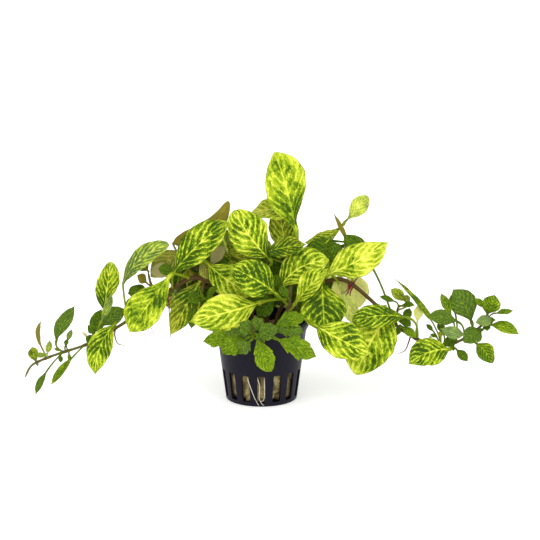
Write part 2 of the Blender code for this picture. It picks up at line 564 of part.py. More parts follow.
def pot(where, cutters, finish):
    """The net pot: a tapered cup with a flared lip, slots round its lower wall and drain holes in its floor."""
    low, high = FLOOR + 1.2, POT_HEIGHT - 6.0
    profile = [
        (0.0, FLOOR),
        (inner_radius(FLOOR) - 1.2, FLOOR),
        (inner_radius(low), low),
        (inner_radius(high), high),
        (RIM_RADIUS - WALL, POT_HEIGHT - 1.2),
        (RIM_RADIUS - WALL, POT_HEIGHT),
        (RIM_RADIUS, POT_HEIGHT),
        (RIM_RADIUS, POT_HEIGHT - 1.4),
        (inner_radius(high) + WALL, high),
        (inner_radius(low) + WALL, low),
        (BASE_RADIUS - 0.7, 0.7),
        (BASE_RADIUS - 2.0, 0.0),
        (0.0, 0.0),
    ]
    obj = turned("pot", profile, POT_STEPS, where, finish)
    work = bmesh.new()
    for i in range(SLOT_COUNT):
        turn = Matrix.Rotation(math.tau * i / SLOT_COUNT - math.pi / 2, 4, "Z")
        spot = Matrix.Translation(Vector((BASE_RADIUS + 1.0, 0.0, (SLOT_LOW + SLOT_HIGH) / 2)) * MM)
        size = Matrix.Diagonal((8.0 * MM, SLOT_WIDTH * MM, (SLOT_HIGH - SLOT_LOW) * MM, 1.0))
        bmesh.ops.create_cube(work, size=1.0, matrix=turn @ spot @ size)
    for i in range(DRAIN_COUNT):
        turn = Matrix.Rotation(math.tau * i / DRAIN_COUNT, 4, "Z")
        spot = turn @ Matrix.Translation(Vector((DRAIN_RING, 0.0, 0.8)) * MM)
        bmesh.ops.create_cone(
            work, cap_ends=True, segments=10, radius1=DRAIN_RADIUS * MM, radius2=DRAIN_RADIUS * MM,
            depth=6.0 * MM, matrix=spot,
        )
    mesh = bpy.data.meshes.new("pot_cuts")
    work.to_mesh(mesh)
    work.free()
    cut = add_object("pot_cuts", mesh, cutters)
    cut.hide_render = True
    cut.display_type = "WIRE"
    slots = obj.modifiers.new("slots", "BOOLEAN")
    slots.object = cut
    return obj


def plug(where, cutters, finish):
    """The stone wool: a lumpy tapered block that fills the pot, with the white roots that grow out of it and a
    plain hole for each stem."""
    foot = FLOOR + SEAT_GAP
    work = bmesh.new()
    bmesh.ops.create_cone(
        work, cap_ends=True, segments=PLUG_SIDES, radius1=1.0, radius2=1.0, depth=1.0,
        matrix=Matrix.Translation((0.0, 0.0, 0.5)),
    )
    sides = [e for e in work.edges if abs(e.verts[0].co.z - e.verts[1].co.z) > 0.5]
    bmesh.ops.subdivide_edges(work, edges=sides, cuts=PLUG_ROWS - 1, use_grid_fill=False)
    for vert in work.verts:
        height = foot + vert.co.z * (PLUG_TOP - foot)
        turn = math.atan2(vert.co.y, vert.co.x)
        lump = 0.5 + 0.25 * math.sin(5 * turn + 0.3 * height) + 0.25 * math.sin(9 * turn - 0.41 * height)
        corner = 2.6 * max(0.0, 1 - (height - foot) / 5.0)
        radius = inner_radius(height) - PLUG_GAP - PLUG_LUMP * lump - corner
        vert.co = Vector((radius * math.cos(turn), radius * math.sin(turn), height)) * MM
    bmesh.ops.triangulate(work, faces=work.faces)
    mesh = bpy.data.meshes.new("stone_wool")
    work.to_mesh(mesh)
    work.free()
    parts = collection("plug_parts")
    for root in POT_ROOTS:
        tube(smooth_line([Vector(spot) for spot in root], ROOT_STEP), ROOT_RADII, ROOT_ROUND, parts)
    obj = joined(add_object("stone_wool", mesh, where), "stone_wool", parts, where, finish)
    work = bmesh.new()
    for stem in STEMS.values():
        radius = (stem["radii"][0] + HOLE_GAP) * MM
        spot = Matrix.Translation(Vector((*stem["hole"], PLUG_TOP - HOLE_DEPTH / 2 + 2.0)) * MM)
        bmesh.ops.create_cone(
            work, cap_ends=True, segments=10, radius1=radius, radius2=radius, depth=(HOLE_DEPTH + 4.0) * MM,
            matrix=spot,
        )
    mesh = bpy.data.meshes.new("plug_cuts")
    work.to_mesh(mesh)
    work.free()
    cut = add_object("plug_cuts", mesh, cutters)
    cut.hide_render = True
    cut.display_type = "WIRE"
    holes = obj.modifiers.new("stem_holes", "BOOLEAN")
    holes.object = cut
    return obj


def main():
    for obj in list(bpy.data.objects):
        bpy.data.objects.remove(obj)
    plant = collection("potted_ludwigia")
    cutters = collection("cutters")
    pot(plant, cutters, material("black_plastic", (0.022, 0.019, 0.035), 0.42))
    plug(plant, cutters, material("stone_wool", (0.42, 0.36, 0.17), 0.95))
    leafy = material("leaf_green", (0.30, 0.48, 0.06), 0.45)
    for name, stem in STEMS.items():
        leafy_stem(name, stem, plant, leafy)


if __name__ == "__main__":
    main()
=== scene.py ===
"""A potted aquarium plant with its looks: a bushy variegated plant in a black net pot of stone wool.

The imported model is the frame. Each operator below makes one piece, or one group of like pieces, in that
frame: the origin lies on the floor under the middle of the pot, +Z up, -Y to the front. The tables are in
millimetres.
"""

import functools
import math
import random

import bmesh
import bpy
from bpy.props import FloatProperty, FloatVectorProperty, IntProperty, PointerProperty
from mathutils import Matrix, Vector, noise


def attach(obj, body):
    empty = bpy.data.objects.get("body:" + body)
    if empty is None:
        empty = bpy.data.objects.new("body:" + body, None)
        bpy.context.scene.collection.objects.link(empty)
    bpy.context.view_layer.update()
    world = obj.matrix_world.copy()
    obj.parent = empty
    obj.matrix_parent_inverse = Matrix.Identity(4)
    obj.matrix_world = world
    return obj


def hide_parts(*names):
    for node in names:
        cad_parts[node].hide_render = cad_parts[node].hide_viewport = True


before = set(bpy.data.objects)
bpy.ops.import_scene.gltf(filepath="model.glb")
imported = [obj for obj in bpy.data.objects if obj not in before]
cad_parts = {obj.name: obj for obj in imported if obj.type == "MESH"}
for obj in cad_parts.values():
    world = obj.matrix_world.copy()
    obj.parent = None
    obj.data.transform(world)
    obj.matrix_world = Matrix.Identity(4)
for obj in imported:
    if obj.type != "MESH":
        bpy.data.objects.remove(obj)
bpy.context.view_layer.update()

bl_info = {
    "name": "Potted aquarium plant",
    "version": (1, 0, 0),
    "blender": (4, 5, 0),
    "location": "3D View > Sidebar > Plant",
    "description": "Makes the pot, the stone wool and the leafy stems of a potted aquarium plant",
    "category": "Object",
}

MM = 0.001

# Pot: its wall leans out by WALL_SPREAD over a height of WALL_TOP, and flares out to the lip above that.
POT_HEIGHT = 45.0
RIM_RADIUS = 27.0
BASE_RADIUS = 19.7
WALL_TOP = POT_HEIGHT - 6.0
WALL_SPREAD = RIM_RADIUS - 2.1 - BASE_RADIUS
WALL = 1.3
FLOOR = 1.6
FOOT_ROUND = 0.6
SLOT_COUNT = 15
SLOT_WIDTH = 4.5
SLOT_LOW = 2.3
SLOT_HIGH = 17.6
DRAIN_COUNT = 6
DRAIN_RADIUS = 2.2
DRAIN_RING = 10.5
# How far the cutters of a slot and of a drain hole reach through the plastic.
CUT_DEPTH = 8.0
DRAIN_DEPTH = 6.0
PLASTIC_DUST = (0.026, 0.024, 0.034)
PLASTIC_FLOW = (0.018, 0.016, 0.030)
POT_SHARP = math.radians(32)

# Stone wool plug
PLUG_TOP = 38.0
PLUG_FOOT = FLOOR + 0.3
PLUG_GAP = 0.6
PLUG_LUMP = 1.1
PLUG_COLUMNS, PLUG_ROWS, PLUG_RINGS = 220, 84, 46
HOLE_DEPTH = 16.0
DEEPEST_DENT = 3.2
# Loose fibres: the least and greatest length, and the same for the height of those on the side of the plug.
FIBRE_LENGTHS = (0.8, 2.6)
FIBRE_HEIGHTS = (3.5, 19.0)
FIBRE_START = 0.3
FIBRE_RADIUS = 0.055
FIBRE_SIDES = 4
WOOL_PALE = (0.50, 0.42, 0.19)
WOOL_SHADE = (0.12, 0.085, 0.03)

# Leaves: half the width of a blade says which grid it gets: columns, rows on the blade and rows on the stalk.
BIG_HALF, SMALL_HALF = 5.0, 2.6
BIG_GRID, MIDDLE_GRID, SMALL_GRID = (28, 64, 9), (16, 36, 7), (10, 22, 6)
LEAST_HALF = 0.14
TEETH_COUNT = 3.6
GROOVE_DEPTH, GROOVE_HALF = 0.30, 0.7
RIPPLE_HEIGHT = 0.45
STALK_HALF = 0.38
STALK_SHARE = 0.030
WING_SHARE = 0.060
SHARP = math.radians(55)
# How steeply a side vein sets out from the midrib, as a share of its mean slope.
VEIN_START = 0.75
# How fast the pattern between the veins drifts from place to place, so that the leaves differ.
LEAF_APART = (37.0, 23.0, 29.0)

# Stems and roots: the radii are those where a root starts, and a taper is the share that is gone at its end.
STEM_STEP = 1.2
STEM_SIDES = 12
BARK_STREAK = (0.15, 0.085, 0.026)
BARK_JOINT = (0.05, 0.022, 0.008)
ROOT_STEP = 0.6
ROOT_SIDES = 7
ROOT_TAPER = 0.6
ROOT_RADII = {"roots": 0.50, "fine_roots": 0.24}
POT_ROOT_STEP = 0.5
POT_ROOT_RADIUS = 0.26
POT_ROOT_TAPER = 0.5

# Every leaf and stem is set out on an upright board through the pot's axis, as the camera sees them: across,
# up and depth. Depth runs back from the board, and the point slides along its sight line to that depth.
EYE = Vector((4.7, -1166.8, 351.6))
TARGET = Vector((4.7, 0.0, 71.5))
LENS = 146.7
SENSOR = 36.0
# The picture is drawn lower by this share of its width.
CAMERA_SHIFT = 0.0015
# The way that the face of a leaf without roll looks.
FRONT = Vector((0.0, -0.80, 0.60))

# Stage, in metres: the lamps point at LIT_SPOT.
FLOOR_SIZE = 8.0
FLOOR_DROP = 0.00005
FLOOR_SHADE = (0.96, 0.96, 0.96)
WHITE = (1.0, 1.0, 1.0)
LIT_SPOT = Vector((0.0, 0.0, 0.06))

# What a leaf looks like: how much of it the yellow veins take, how dark the green between them is and with
# that how clearly the veins show, how brown it is, and how washed out: above 0 towards cream, lightened as
# painted light through the leaf, below 0 towards grey-green with a painted sheen.
LOOKS = {
    "gold": (0.80, 0.55, 0.0, 0.0),
    "lime": (0.60, 0.35, 0.0, 0.0),
    "bright": (0.46, 0.55, 0.0, 0.0),
    "soft": (0.26, 0.30, 0.0, 0.0),
    "even": (0.58, 0.0, 0.0, 0.0),
    "fair": (0.36, 0.35, 0.0, 0.0),
    "dusky": (0.07, 0.78, 0.0, -0.05),
    "striped": (0.28, 0.95, 0.0, 0.0),
    "marked": (0.22, 0.85, 0.0, 0.0),
    "green": (0.14, 0.40, 0.0, 0.0),
    "light": (0.16, 0.20, 0.0, -0.28),
    "dark": (0.06, 0.85, 0.0, 0.0),
    "shaded": (0.24, 0.95, 0.25, 0.0),
    "tan": (0.50, 0.50, 0.30, 0.0),
    "olive": (0.34, 0.65, 0.35, 0.0),
    "rust": (0.20, 0.45, 0.85, 0.0),
    "faded": (0.42, 0.35, 0.55, 0.06),
    "worn": (0.30, 0.30, 0.70, 0.42),
    "beige": (0.30, 0.10, 0.80, 0.88),
    "pale": (1.0, 0.0, 0.0, 0.66),
    "fresh": (0.66, 0.0, 0.0, 0.30),
    "smooth": (0.66, 0.0, 0.0, 0.14),
    # A greyish leaf with a painted sheen.
    "grey_sheen": (0.28, 0.80, 0.0, -0.17),
    "young": (0.07, 0.22, 0.0, 0.0),
    "young_light": (0.11, 0.0, 0.0, 0.0),
    "young_dark": (0.04, 0.62, 0.0, -0.05),
}


def seat(across, up, depth):
    """The place, at this depth, of what the camera sees at this spot of the board."""
    spot = Vector((across, 0.0, up))
    reach = (depth - EYE.y) / (0.0 - EYE.y)
    return EYE + (spot - EYE) * reach


class Leaf:
    """One leaf. base and tip are board triples of the blade's ends, and half is half its width. foot is a
    board triple near the joint with the stem: without one, the joint is the stem's nearest point to the base.
    bow lifts the middle of the blade off the straight line towards its face, and sweep pushes it sideways. roll
    turns the face about that line from facing the front, in degrees. fold is how far the halves rise from the
    midrib, as a share of half the width, and wave how far the margins swing. A higher broad puts the widest
    place nearer the tip. teeth is how deep the margin is notched, and knee how far the stalk runs straight on
    behind the blade before it bends to the stem, as a share of its length. point is how drawn out the tip is
    and neck the base, and skew how much nearer the tip one half is widest than the other."""

    def __init__(
        self, look, base, tip, half, foot=None, bow=2.0, sweep=0.0, roll=0.0, fold=0.16, wave=0.0, broad=1.2,
        teeth=0.0, knee=0.5, point=7.5, skew=0.0, neck=1.45,
    ):
        self.look = LOOKS[look]
        self.base = seat(*base)
        self.tip = seat(*tip)
        self.half = half
        self.foot = seat(*foot) if foot else None
        self.bow = bow
        self.sweep = sweep
        self.roll = roll
        self.fold = fold
        self.wave = wave
        self.broad = broad
        self.teeth = teeth
        self.knee = knee
        self.point = point
        self.skew = skew
        self.neck = neck


# White roots that grow out of the plug through the front slots and hang down the pot, as points in its frame.
POT_ROOTS = [
    [
        (-7.5, -15.5, 17.2), (-7.4, -20.9, 16.2), (-6.0, -22.3, 12.2), (-4.6, -22.2, 8.2), (-3.3, -21.6, 4.9),
        (-1.5, -21.0, 1.3),
    ],
    [
        (-2.0, -15.5, 17.4), (-2.0, -20.9, 16.4), (-0.9, -22.3, 12.0), (-1.2, -22.2, 6.0), (0.1, -21.6, 2.6),
        (1.3, -21.1, 1.3),
    ],
    [
        (1.7, -15.5, 17.4), (1.6, -20.9, 16.2), (1.7, -22.3, 11.0), (1.6, -22.2, 6.2), (0.9, -21.9, 4.2),
        (-0.4, -21.8, 3.8),
    ],
]

# Each stem has the place of its hole in the plug, the board triples that it runs through above the plug, its
# radius at the foot and at the end, its leaves, its aerial roots, and its side shoots, which have no hole.
FRONT_STEM = dict(
    hole=(13.0, -6.0),
    line=[(14.5, 50, -7), (15.5, 59, -5), (16.5, 68, 0), (17.5, 76, 4)],
    radii=(1.3, 0.9),
    leaves=[
        Leaf("marked", (8, 58.5, -12), (-18, 74, -17), 10.2, (14, 51, -7), 3, sweep=0.5, roll=-8, broad=1),
        Leaf("lime", (18, 52, -14), (36.5, 72.8, -21), 7.4, (14, 48, -7), sweep=0.5, roll=-18, fold=0.32),
        Leaf("gold", (-1, 53.5, -13), (-39.6, 42.8, -21), 10.5, (15, 55, -7), 4, sweep=-1.5, roll=-8,
             broad=1),
        Leaf("bright", (10.3, 61.6, -1), (37.1, 77.6, -8), 9.8, (15.3, 58, -5), 3, sweep=-3.5, roll=6,
             broad=1.32, point=4.7, skew=-0.13, neck=0.67),
        Leaf("even", (18.9, 94.4, 4), (7, 137.3, 0), 12, (17.2, 75, 3), -2, sweep=1.4, fold=0.12,
             broad=1.27, point=2.2, skew=-0.29, neck=1.03),
        Leaf("shaded", (2, 82, 2), (24.5, 86.4, -2), 7.2, (17, 75, 3), sweep=1.3, roll=-15, broad=1,
             neck=1.1),
        Leaf("tan", (16.9, 104.4, 10), (-5.8, 103.2, 13), 10.1, (17.4, 74, 4), 3, sweep=-1.2, roll=25,
             broad=0.78, knee=0.1, point=3.9, skew=-0.1),
        Leaf("tan", (13.8, 78, 12), (9.2, 109, 15), 7.5, (17, 72, 3), 1),
        Leaf("dark", (15, 55.6, -10), (10.2, 62.8, -10), 2.5, (15.3, 55, -6), 0.6),
    ],
)
MIDDLE_STEM = dict(
    hole=(1.0, 3.0),
    line=[(1, 50, 3), (2, 62, 4), (3, 72, 5), (3, 78, 5)],
    radii=(1.3, 0.9),
    leaves=[
        Leaf("bright", (4.6, 77.8, 0), (-15, 105.1, -4), 11.5, (3, 74, 5), sweep=-2.1, broad=1.27, point=-1,
             neck=1.05),
        Leaf("olive", (0, 76.5, 8), (-19.5, 85.5, 9), 4.8, (3, 73, 5), 1),
        Leaf("dark", (7.5, 55.5, 0), (-2.5, 45.5, -5), 4.8, (1.5, 60, 3), 1),
        Leaf("dark", (4, 65, 11), (18, 79, 13), 7.6, (2, 62, 4), 1),
        Leaf("dark", (1.5, 73, 9), (6.5, 84, 11), 5.4, (3, 72, 5), 1, broad=1),
        Leaf("dark", (10, 60.5, 6), (0, 55, 6), 3.6, (2, 60, 4), 1),
        Leaf("dark", (7, 55.5, 1), (-12, 58, 0), 5.6, (1.5, 58, 3), 1),
        Leaf("dark", (6, 59, 1), (10, 70, 0), 4.2, (2, 61, 4), 1),
        Leaf("green", (0, 75, 18), (-5, 93.5, 34), 8, (3, 72, 6), -4, roll=-10, fold=-0.16),
    ],
)
BACK_STEM = dict(
    hole=(-5.0, 12.0),
    line=[(-6, 52, 13), (-8, 60, 15), (-11, 68, 18), (-13, 74, 20)],
    radii=(1.2, 0.8),
    leaves=[
        Leaf("green", (-16, 57, 28), (-35, 55, 48), 9, (-8, 58, 15), -4, roll=-15, fold=-0.16),
        Leaf("lime", (-10, 58, 30), (-16, 46, 58), 9, (-7, 57, 15), -6, fold=-0.16),
        Leaf("bright", (-22, 72, 26), (-37, 88, 40), 9, (-11, 68, 18), -3, roll=-30, fold=-0.16),
        Leaf("green", (-13, 76, 32), (-8, 88, 50), 8, (-13, 73, 20), -3, roll=-10, fold=-0.16),
        Leaf("shaded", (-9, 75, 9), (-26, 78, 12), 4.6, (-11, 68, 18), 1),
        Leaf("worn", (-28, 74.2, 3), (-19.8, 85.4, 8), 3.4, (-13, 74, 20), 1, broad=1, knee=0.2, point=2),
        Leaf("marked", (-17, 76, 24), (-24, 96, 26), 7, (-13, 74, 20), roll=140),
    ],
)
REAR_STEM = dict(
    hole=(3.0, 17.0),
    line=[(5, 50, 20), (10, 59, 26), (15, 67, 31), (18, 73, 34)],
    radii=(1.2, 0.8),
    leaves=[
        Leaf("bright", (18, 58, 38), (37, 52, 54), 9, (10, 58, 26), -4, roll=10, fold=-0.16),
        Leaf("lime", (7, 56, 38), (8, 36, 58), 9, (8, 56, 24), 4, roll=180),
        Leaf("green", (26, 72, 42), (42, 76, 56), 8.5, (16, 69, 32), -3, roll=15, fold=-0.16),
        Leaf("marked", (14, 76, 44), (8, 83, 62), 8, (17, 72, 34), -3, fold=-0.16),
        Leaf("green", (20, 78, 36), (26, 84, 46), 5, (18, 73, 34), -2, fold=-0.16),
        Leaf("dark", (6, 63, 24), (14, 53, 24), 6.6, (7, 55, 23), 1),
        Leaf("dark", (11, 57.5, 14), (24, 66.5, 16), 5.4, (13, 60, 28), 1),
        Leaf("dark", (12, 52, 16), (20, 61.5, 20), 4.6, (6, 53, 21), 1),
    ],
)
RIGHT_STEM = dict(
    hole=(16.0, 1.0),
    line=[(17.5, 48, -1), (20, 56, 0), (25, 64, 2), (31, 70, 3), (35, 73, 3)],
    radii=(1.3, 0.9),
    leaves=[
        Leaf("bright", (29, 41, -17), (60.5, 24.3, -25), 11.3, (17.8, 47, -1), 3, sweep=2.4, roll=-6,
             broad=1),
        Leaf("soft", (33, 67, -3), (34.5, 36, -12), 12.4, (30, 69, 3)),
        Leaf("gold", (35.2, 69, -7), (68.7, 87.6, -13), 9.7, (33.8, 71.8, 2), sweep=2.1, roll=4, broad=1.03,
             point=4.7, skew=0.18, neck=1.4),
        Leaf("dark", (38, 74, 5), (42, 87, 7), 5, (35, 73, 3), 1),
        Leaf("dark", (31, 67, 8), (39, 60, 8), 3.8, (30, 69, 3), 1),
        Leaf("dark", (15.5, 54, 6), (24.5, 48, 6), 4, (18.5, 52, 0), 1),
        Leaf("pale", (42, 71, 8), (44.5, 54.5, 8), 5.6, (34.5, 72.5, 3), 1),
        Leaf("fresh", (42.5, 64, 2), (50.6, 41.6, -2), 4.7, (33, 71, 3), 1, sweep=-0.6, broad=1.45,
             point=3),
    ],
)
UPPER_STEM = dict(
    hole=(8.0, 11.0),
    line=[(12, 53, 13), (19, 64, 15), (29, 77, 16), (38, 89, 16), (44, 97.5, 16)],
    radii=(1.2, 0.7),
    leaves=[
        Leaf("smooth", (44.8, 98.2, 16), (57.6, 113.1, 15), 5.1, (43.5, 97, 16), 0.5, sweep=0.5, broad=1.6,
             point=-1),
        Leaf("tan", (45, 97.5, 15), (23.5, 87.4, 17), 5.1, (43, 95.5, 16), 1, sweep=-4.8, roll=25),
        Leaf("dark", (46, 86, 9), (23, 84.5, 8), 6.2, (37.5, 88.5, 16), 1, sweep=-1.6, roll=-15),
        Leaf("rust", (48.5, 84.8, 15), (39.3, 103.3, 13), 1.9, (36, 86, 16), 0.5, sweep=-0.6, roll=30,
             knee=0.2),
        Leaf("lime", (36, 72, 26), (44, 66, 46), 9, (26, 73, 16), -4, fold=-0.16),
        Leaf("green", (24, 74, 24), (36, 88, 36), 7.5, (27, 74, 16), -3, roll=-20, fold=-0.16),
    ],
)
LEFT_RUNNER = dict(
    hole=(-9.0, -1.0),
    line=[
        (-12, 51, -2), (-20, 60.5, -3), (-32, 67, -4), (-38, 67.5, -4), (-44, 64.5, -4), (-50, 60.5, -4),
        (-62, 51, -3), (-76, 41.6, -2), (-88, 34.2, -2), (-97, 29.5, -2), (-112, 24.5, -3), (-121, 21, -4),
        (-127, 17.5, -5), (-130.5, 11, -5),
    ],
    radii=(1.35, 0.58),
    leaves=[
        Leaf("striped", (-48, 69.8, -11), (-17.7, 98.8, -13), 9.9, (-48, 61, -4), 3, sweep=-0.7, roll=-6,
             broad=1.13, knee=0.12, point=2.2, neck=0.92),
        Leaf("rust", (-47.6, 87.2, 3), (-17.8, 110.4, 6), 5.8, (-37, 67, -4), 1, sweep=6.4, roll=10,
             broad=0.78, knee=0.1, point=-1, skew=-0.12, neck=0.62),
        Leaf("even", (-49, 69.6, -14), (-72.4, 36.8, -20), 10.4, (-38.5, 65.5, -4), 3, sweep=-0.5, roll=4,
             broad=1.44, knee=0.12, point=4.3, skew=0.18, neck=0.95),
        Leaf("olive", (-33.3, 66, -4), (-50.2, 34.8, -11), 7.4, (-36, 67, -4), sweep=-0.3, broad=0.85),
        Leaf("bright", (-30, 76, -3), (-4, 58, -5), 9.8, (-33, 68, -4), sweep=2.4, broad=1),
        Leaf("grey_sheen", (-75.3, 64.7, 0), (-50.1, 86.1, -8), 6.4, (-73, 44, -2), sweep=-3.2, roll=-10,
             broad=1.13, knee=0.1, point=-1, neck=0.76),
        Leaf("faded", (-40, 83.5, 6), (-60.2, 68, 4), 7.1, (-44, 64, -4), 1, sweep=0.7, point=2),
        Leaf("worn", (-47.5, 72.5, 3), (-60.2, 70.4, 2), 4.6, (-45, 66, -2), 0.5, broad=1.1, point=0,
             neck=0.8),
        Leaf("dark", (-47.5, 71, -7), (-56, 72.8, -7), 3.6, (-47, 62.5, -4), 0.5, point=0),
        Leaf("dark", (-34, 70.5, 3), (-47, 72, 9), 5.4, (-35, 67, -4), -1, roll=-20, fold=-0.16),
        Leaf("olive", (-41, 60, 4), (-56, 56, 22), 7, (-41, 66, -4), -3, roll=-10, fold=-0.16),
        Leaf("fair", (-85.9, 48.4, 4), (-82.1, 76.6, 12), 6.4, (-89, 34.5, -2), 1, broad=1.22, point=-0.3,
             skew=0.33, neck=1.16),
        Leaf("grey_sheen", (-88.5, 42, -7), (-82, 59.5, -10), 2.7, (-90, 34, -2), 1, roll=50),
        Leaf("dusky", (-88, 39.5, 0), (-74.5, 50, 2), 5.2, (-88, 35, -2), 1, sweep=-0.5),
        Leaf("dark", (-92.5, 35, 2), (-87.5, 50, 7), 3.7, (-92, 32.5, -2), 1, sweep=-0.3, broad=1),
        Leaf("soft", (-80.4, 41.7, -6), (-91.7, 12.6, -14), 6.9, (-82, 38.5, -2), sweep=2.5, broad=1,
             point=6, neck=1.2),
        Leaf("dark", (-91.5, 35.5, -4), (-96, 30.5, -8), 2.6, (-91, 33, -2), 0.5),
        Leaf("dark", (-91.5, 36, -6), (-95.3, 40.8, -9), 2.6, (-91, 33, -2), 0.5),
        Leaf("beige", (-95.5, 33.5, -5), (-98.6, 37.2, -6), 0.9, (-94.5, 30.5, -3), 0.5),
        Leaf("dusky", (-112.8, 31.4, -2), (-102.2, 51.8, 5), 4.1, (-109, 25.5, -3), 1, sweep=-0.9, broad=1,
             skew=0.2),
        Leaf("rust", (-119.8, 26, -4), (-120.9, 43, -3), 2.5, (-119, 22, -4), 1, sweep=-2.2, roll=-55),
        Leaf("olive", (-123.5, 18.5, -2), (-126, 28.5, 2), 3.1, (-123, 20, -4), 1, roll=-20, broad=1.5),
        Leaf("grey_sheen", (-118, 24, -7), (-116.3, 32.3, -10), 1.9, (-117, 22.5, -4), 0.5, roll=30),
        Leaf("grey_sheen", (-119, 24.5, -7), (-123.5, 22.5, -12), 1.9, (-118, 22.5, -4), 0.5),
        Leaf("dusky", (-117.8, 15.4, -6), (-124.8, 1.2, -12), 2.3, (-109, 25.2, -3), 1, roll=20),
        Leaf("green", (-103, 23.6, -6), (-116, 7, -10), 2.4, (-97, 29.5, -2), 1, roll=10, point=4,
             neck=1.1),
        Leaf("grey_sheen", (-107, 31, -1), (-104, 38.3, 2), 1.6, (-106, 27, -2), 0.5),
        Leaf("dark", (-110.5, 24, -5), (-110.5, 19.5, -7), 1.3, (-109, 25.5, -3), 0.5),
        Leaf("green", (-110, 26, -3), (-114, 27.5, -2), 1, (-109, 25.5, -3), 0.3),
        Leaf("dark", (-108, 28.5, -3), (-106.5, 33, -2), 1.3, (-107.5, 26, -3), 0.3),
        Leaf("green", (-106, 25.5, -4), (-105.5, 20, -6), 1.1, (-106, 26.7, -3), 0.3),
        Leaf("green", (-33, 59, -8), (-32.5, 54.5, -10), 1.6, (-32, 60, -8), 0.3),
    ],
    shoots=[
        dict(
            line=[(-15, 54, -1), (-24, 60, 0), (-34, 63.5, 1), (-43, 62, 1), (-47, 59, 0)],
            radii=(1.1, 0.7),
            leaves=[
                Leaf("dark", (-37, 60, 0), (-27, 55, 2), 3.8, (-40, 63, 1), 1),
                Leaf("shaded", (-21, 61, 5), (-38, 70.5, 6), 7, (-24, 60, 0), 1),
                Leaf("dark", (-20, 58, 4), (-35, 60.5, 3), 5.4, (-20, 57, -1), 1),
                Leaf("dark", (-46, 60, 8), (-33, 67, 8), 4.8, (-44, 61, 1), 1),
                Leaf("dark", (-41, 60, 2), (-50.5, 71, 0), 4.8, (-43, 62, 1), 1),
            ],
        ),
        dict(
            line=[(-17, 57, 0), (-27, 68.5, 1), (-37, 73.5, 2), (-44, 74.5, 2)],
            radii=(1.0, 0.6),
            leaves=[
                Leaf("olive", (-34, 70, 0), (-44, 66, -1), 3.6, (-32, 71.5, 1), 1),
                Leaf("faded", (-33.6, 77, -2), (-26.6, 66.5, -3), 4.6, (-37, 73.5, 2), 1, broad=1, point=2),
                Leaf("dark", (-39, 73, 4), (-30, 76.5, 5), 3.6, (-37, 73.5, 2), 0.6),
                Leaf("dark", (-34, 76, 4), (-17, 77, 6), 4.2, (-36, 73, 2), 1),
            ],
        ),
        dict(
            line=[(-58, 54, -3), (-58.8, 59, -1), (-60.6, 65, 0), (-61.8, 71, 1)],
            radii=(0.9, 0.6),
            leaves=[
                Leaf("dark", (-64.6, 61.4, 1), (-73, 58.6, 2), 3.3, (-59, 60, -1), 0.5),
                Leaf("rust", (-62.5, 64.5, 0), (-67.8, 69.2, -3), 2.9, (-60, 63, 0), 0.5),
                Leaf("dark", (-64, 57, 1), (-69, 63.5, 6), 3.4, (-58.6, 57.5, -1), 0.5),
                Leaf("dark", (-67, 55.5, -2), (-74.5, 53, -6), 2, (-58, 55, -2), 0.5),
                Leaf("olive", (-61.5, 71, 2), (-66.5, 76, 5), 3.4, None, 0.5),
            ],
        ),
        dict(
            line=[(-32, 67, -4), (-32, 62, -7), (-33, 57.5, -10)],
            radii=(0.8, 0.5),
            leaves=[
                Leaf("dark", (-34, 57, -11), (-40.3, 54, -16), 3.6, (-33, 58.5, -10), 0.5, broad=1),
                Leaf("dark", (-30.5, 56, -11), (-24, 63.3, -14), 2, (-32.5, 58.5, -9), 0.5),
                Leaf("dark", (-36, 54, -11), (-38.5, 38.8, -13), 3, (-33, 57.5, -10), 0.5),
                Leaf("dark", (-32, 57.5, -8), (-34.5, 47.5, -9), 3.2, (-32.5, 58, -9), 0.5),
                Leaf("dark", (-30.5, 55.5, -12), (-26, 56, -16), 2.4, (-33, 57.5, -10), 0.5),
            ],
        ),
    ],
    roots=[
        [(-50, 60.5, -4), (-51.5, 58, -7), (-50, 56.8, -8), (-48.5, 55.6, -8)],
        [(-51, 59.8, -4), (-51.7, 57, -5), (-50.5, 52.5, -6), (-50.6, 47, -6)],
        [(-80, 40, -2), (-80.5, 35, -4), (-79, 30.5, -5), (-75.5, 29.3, -6)],
    ],
    fine_roots=[
        [(-62, 51, -3), (-63, 45, -6), (-64.5, 38, -8), (-63, 31, -8)],
        [(-60, 52.5, -3), (-61, 44, -6), (-60, 38, -7), (-56.5, 31.5, -8)],
        [(-51, 59.8, -4), (-50.6, 47, -6), (-50.2, 39, -7), (-49.4, 27.5, -7)],
    ],
)
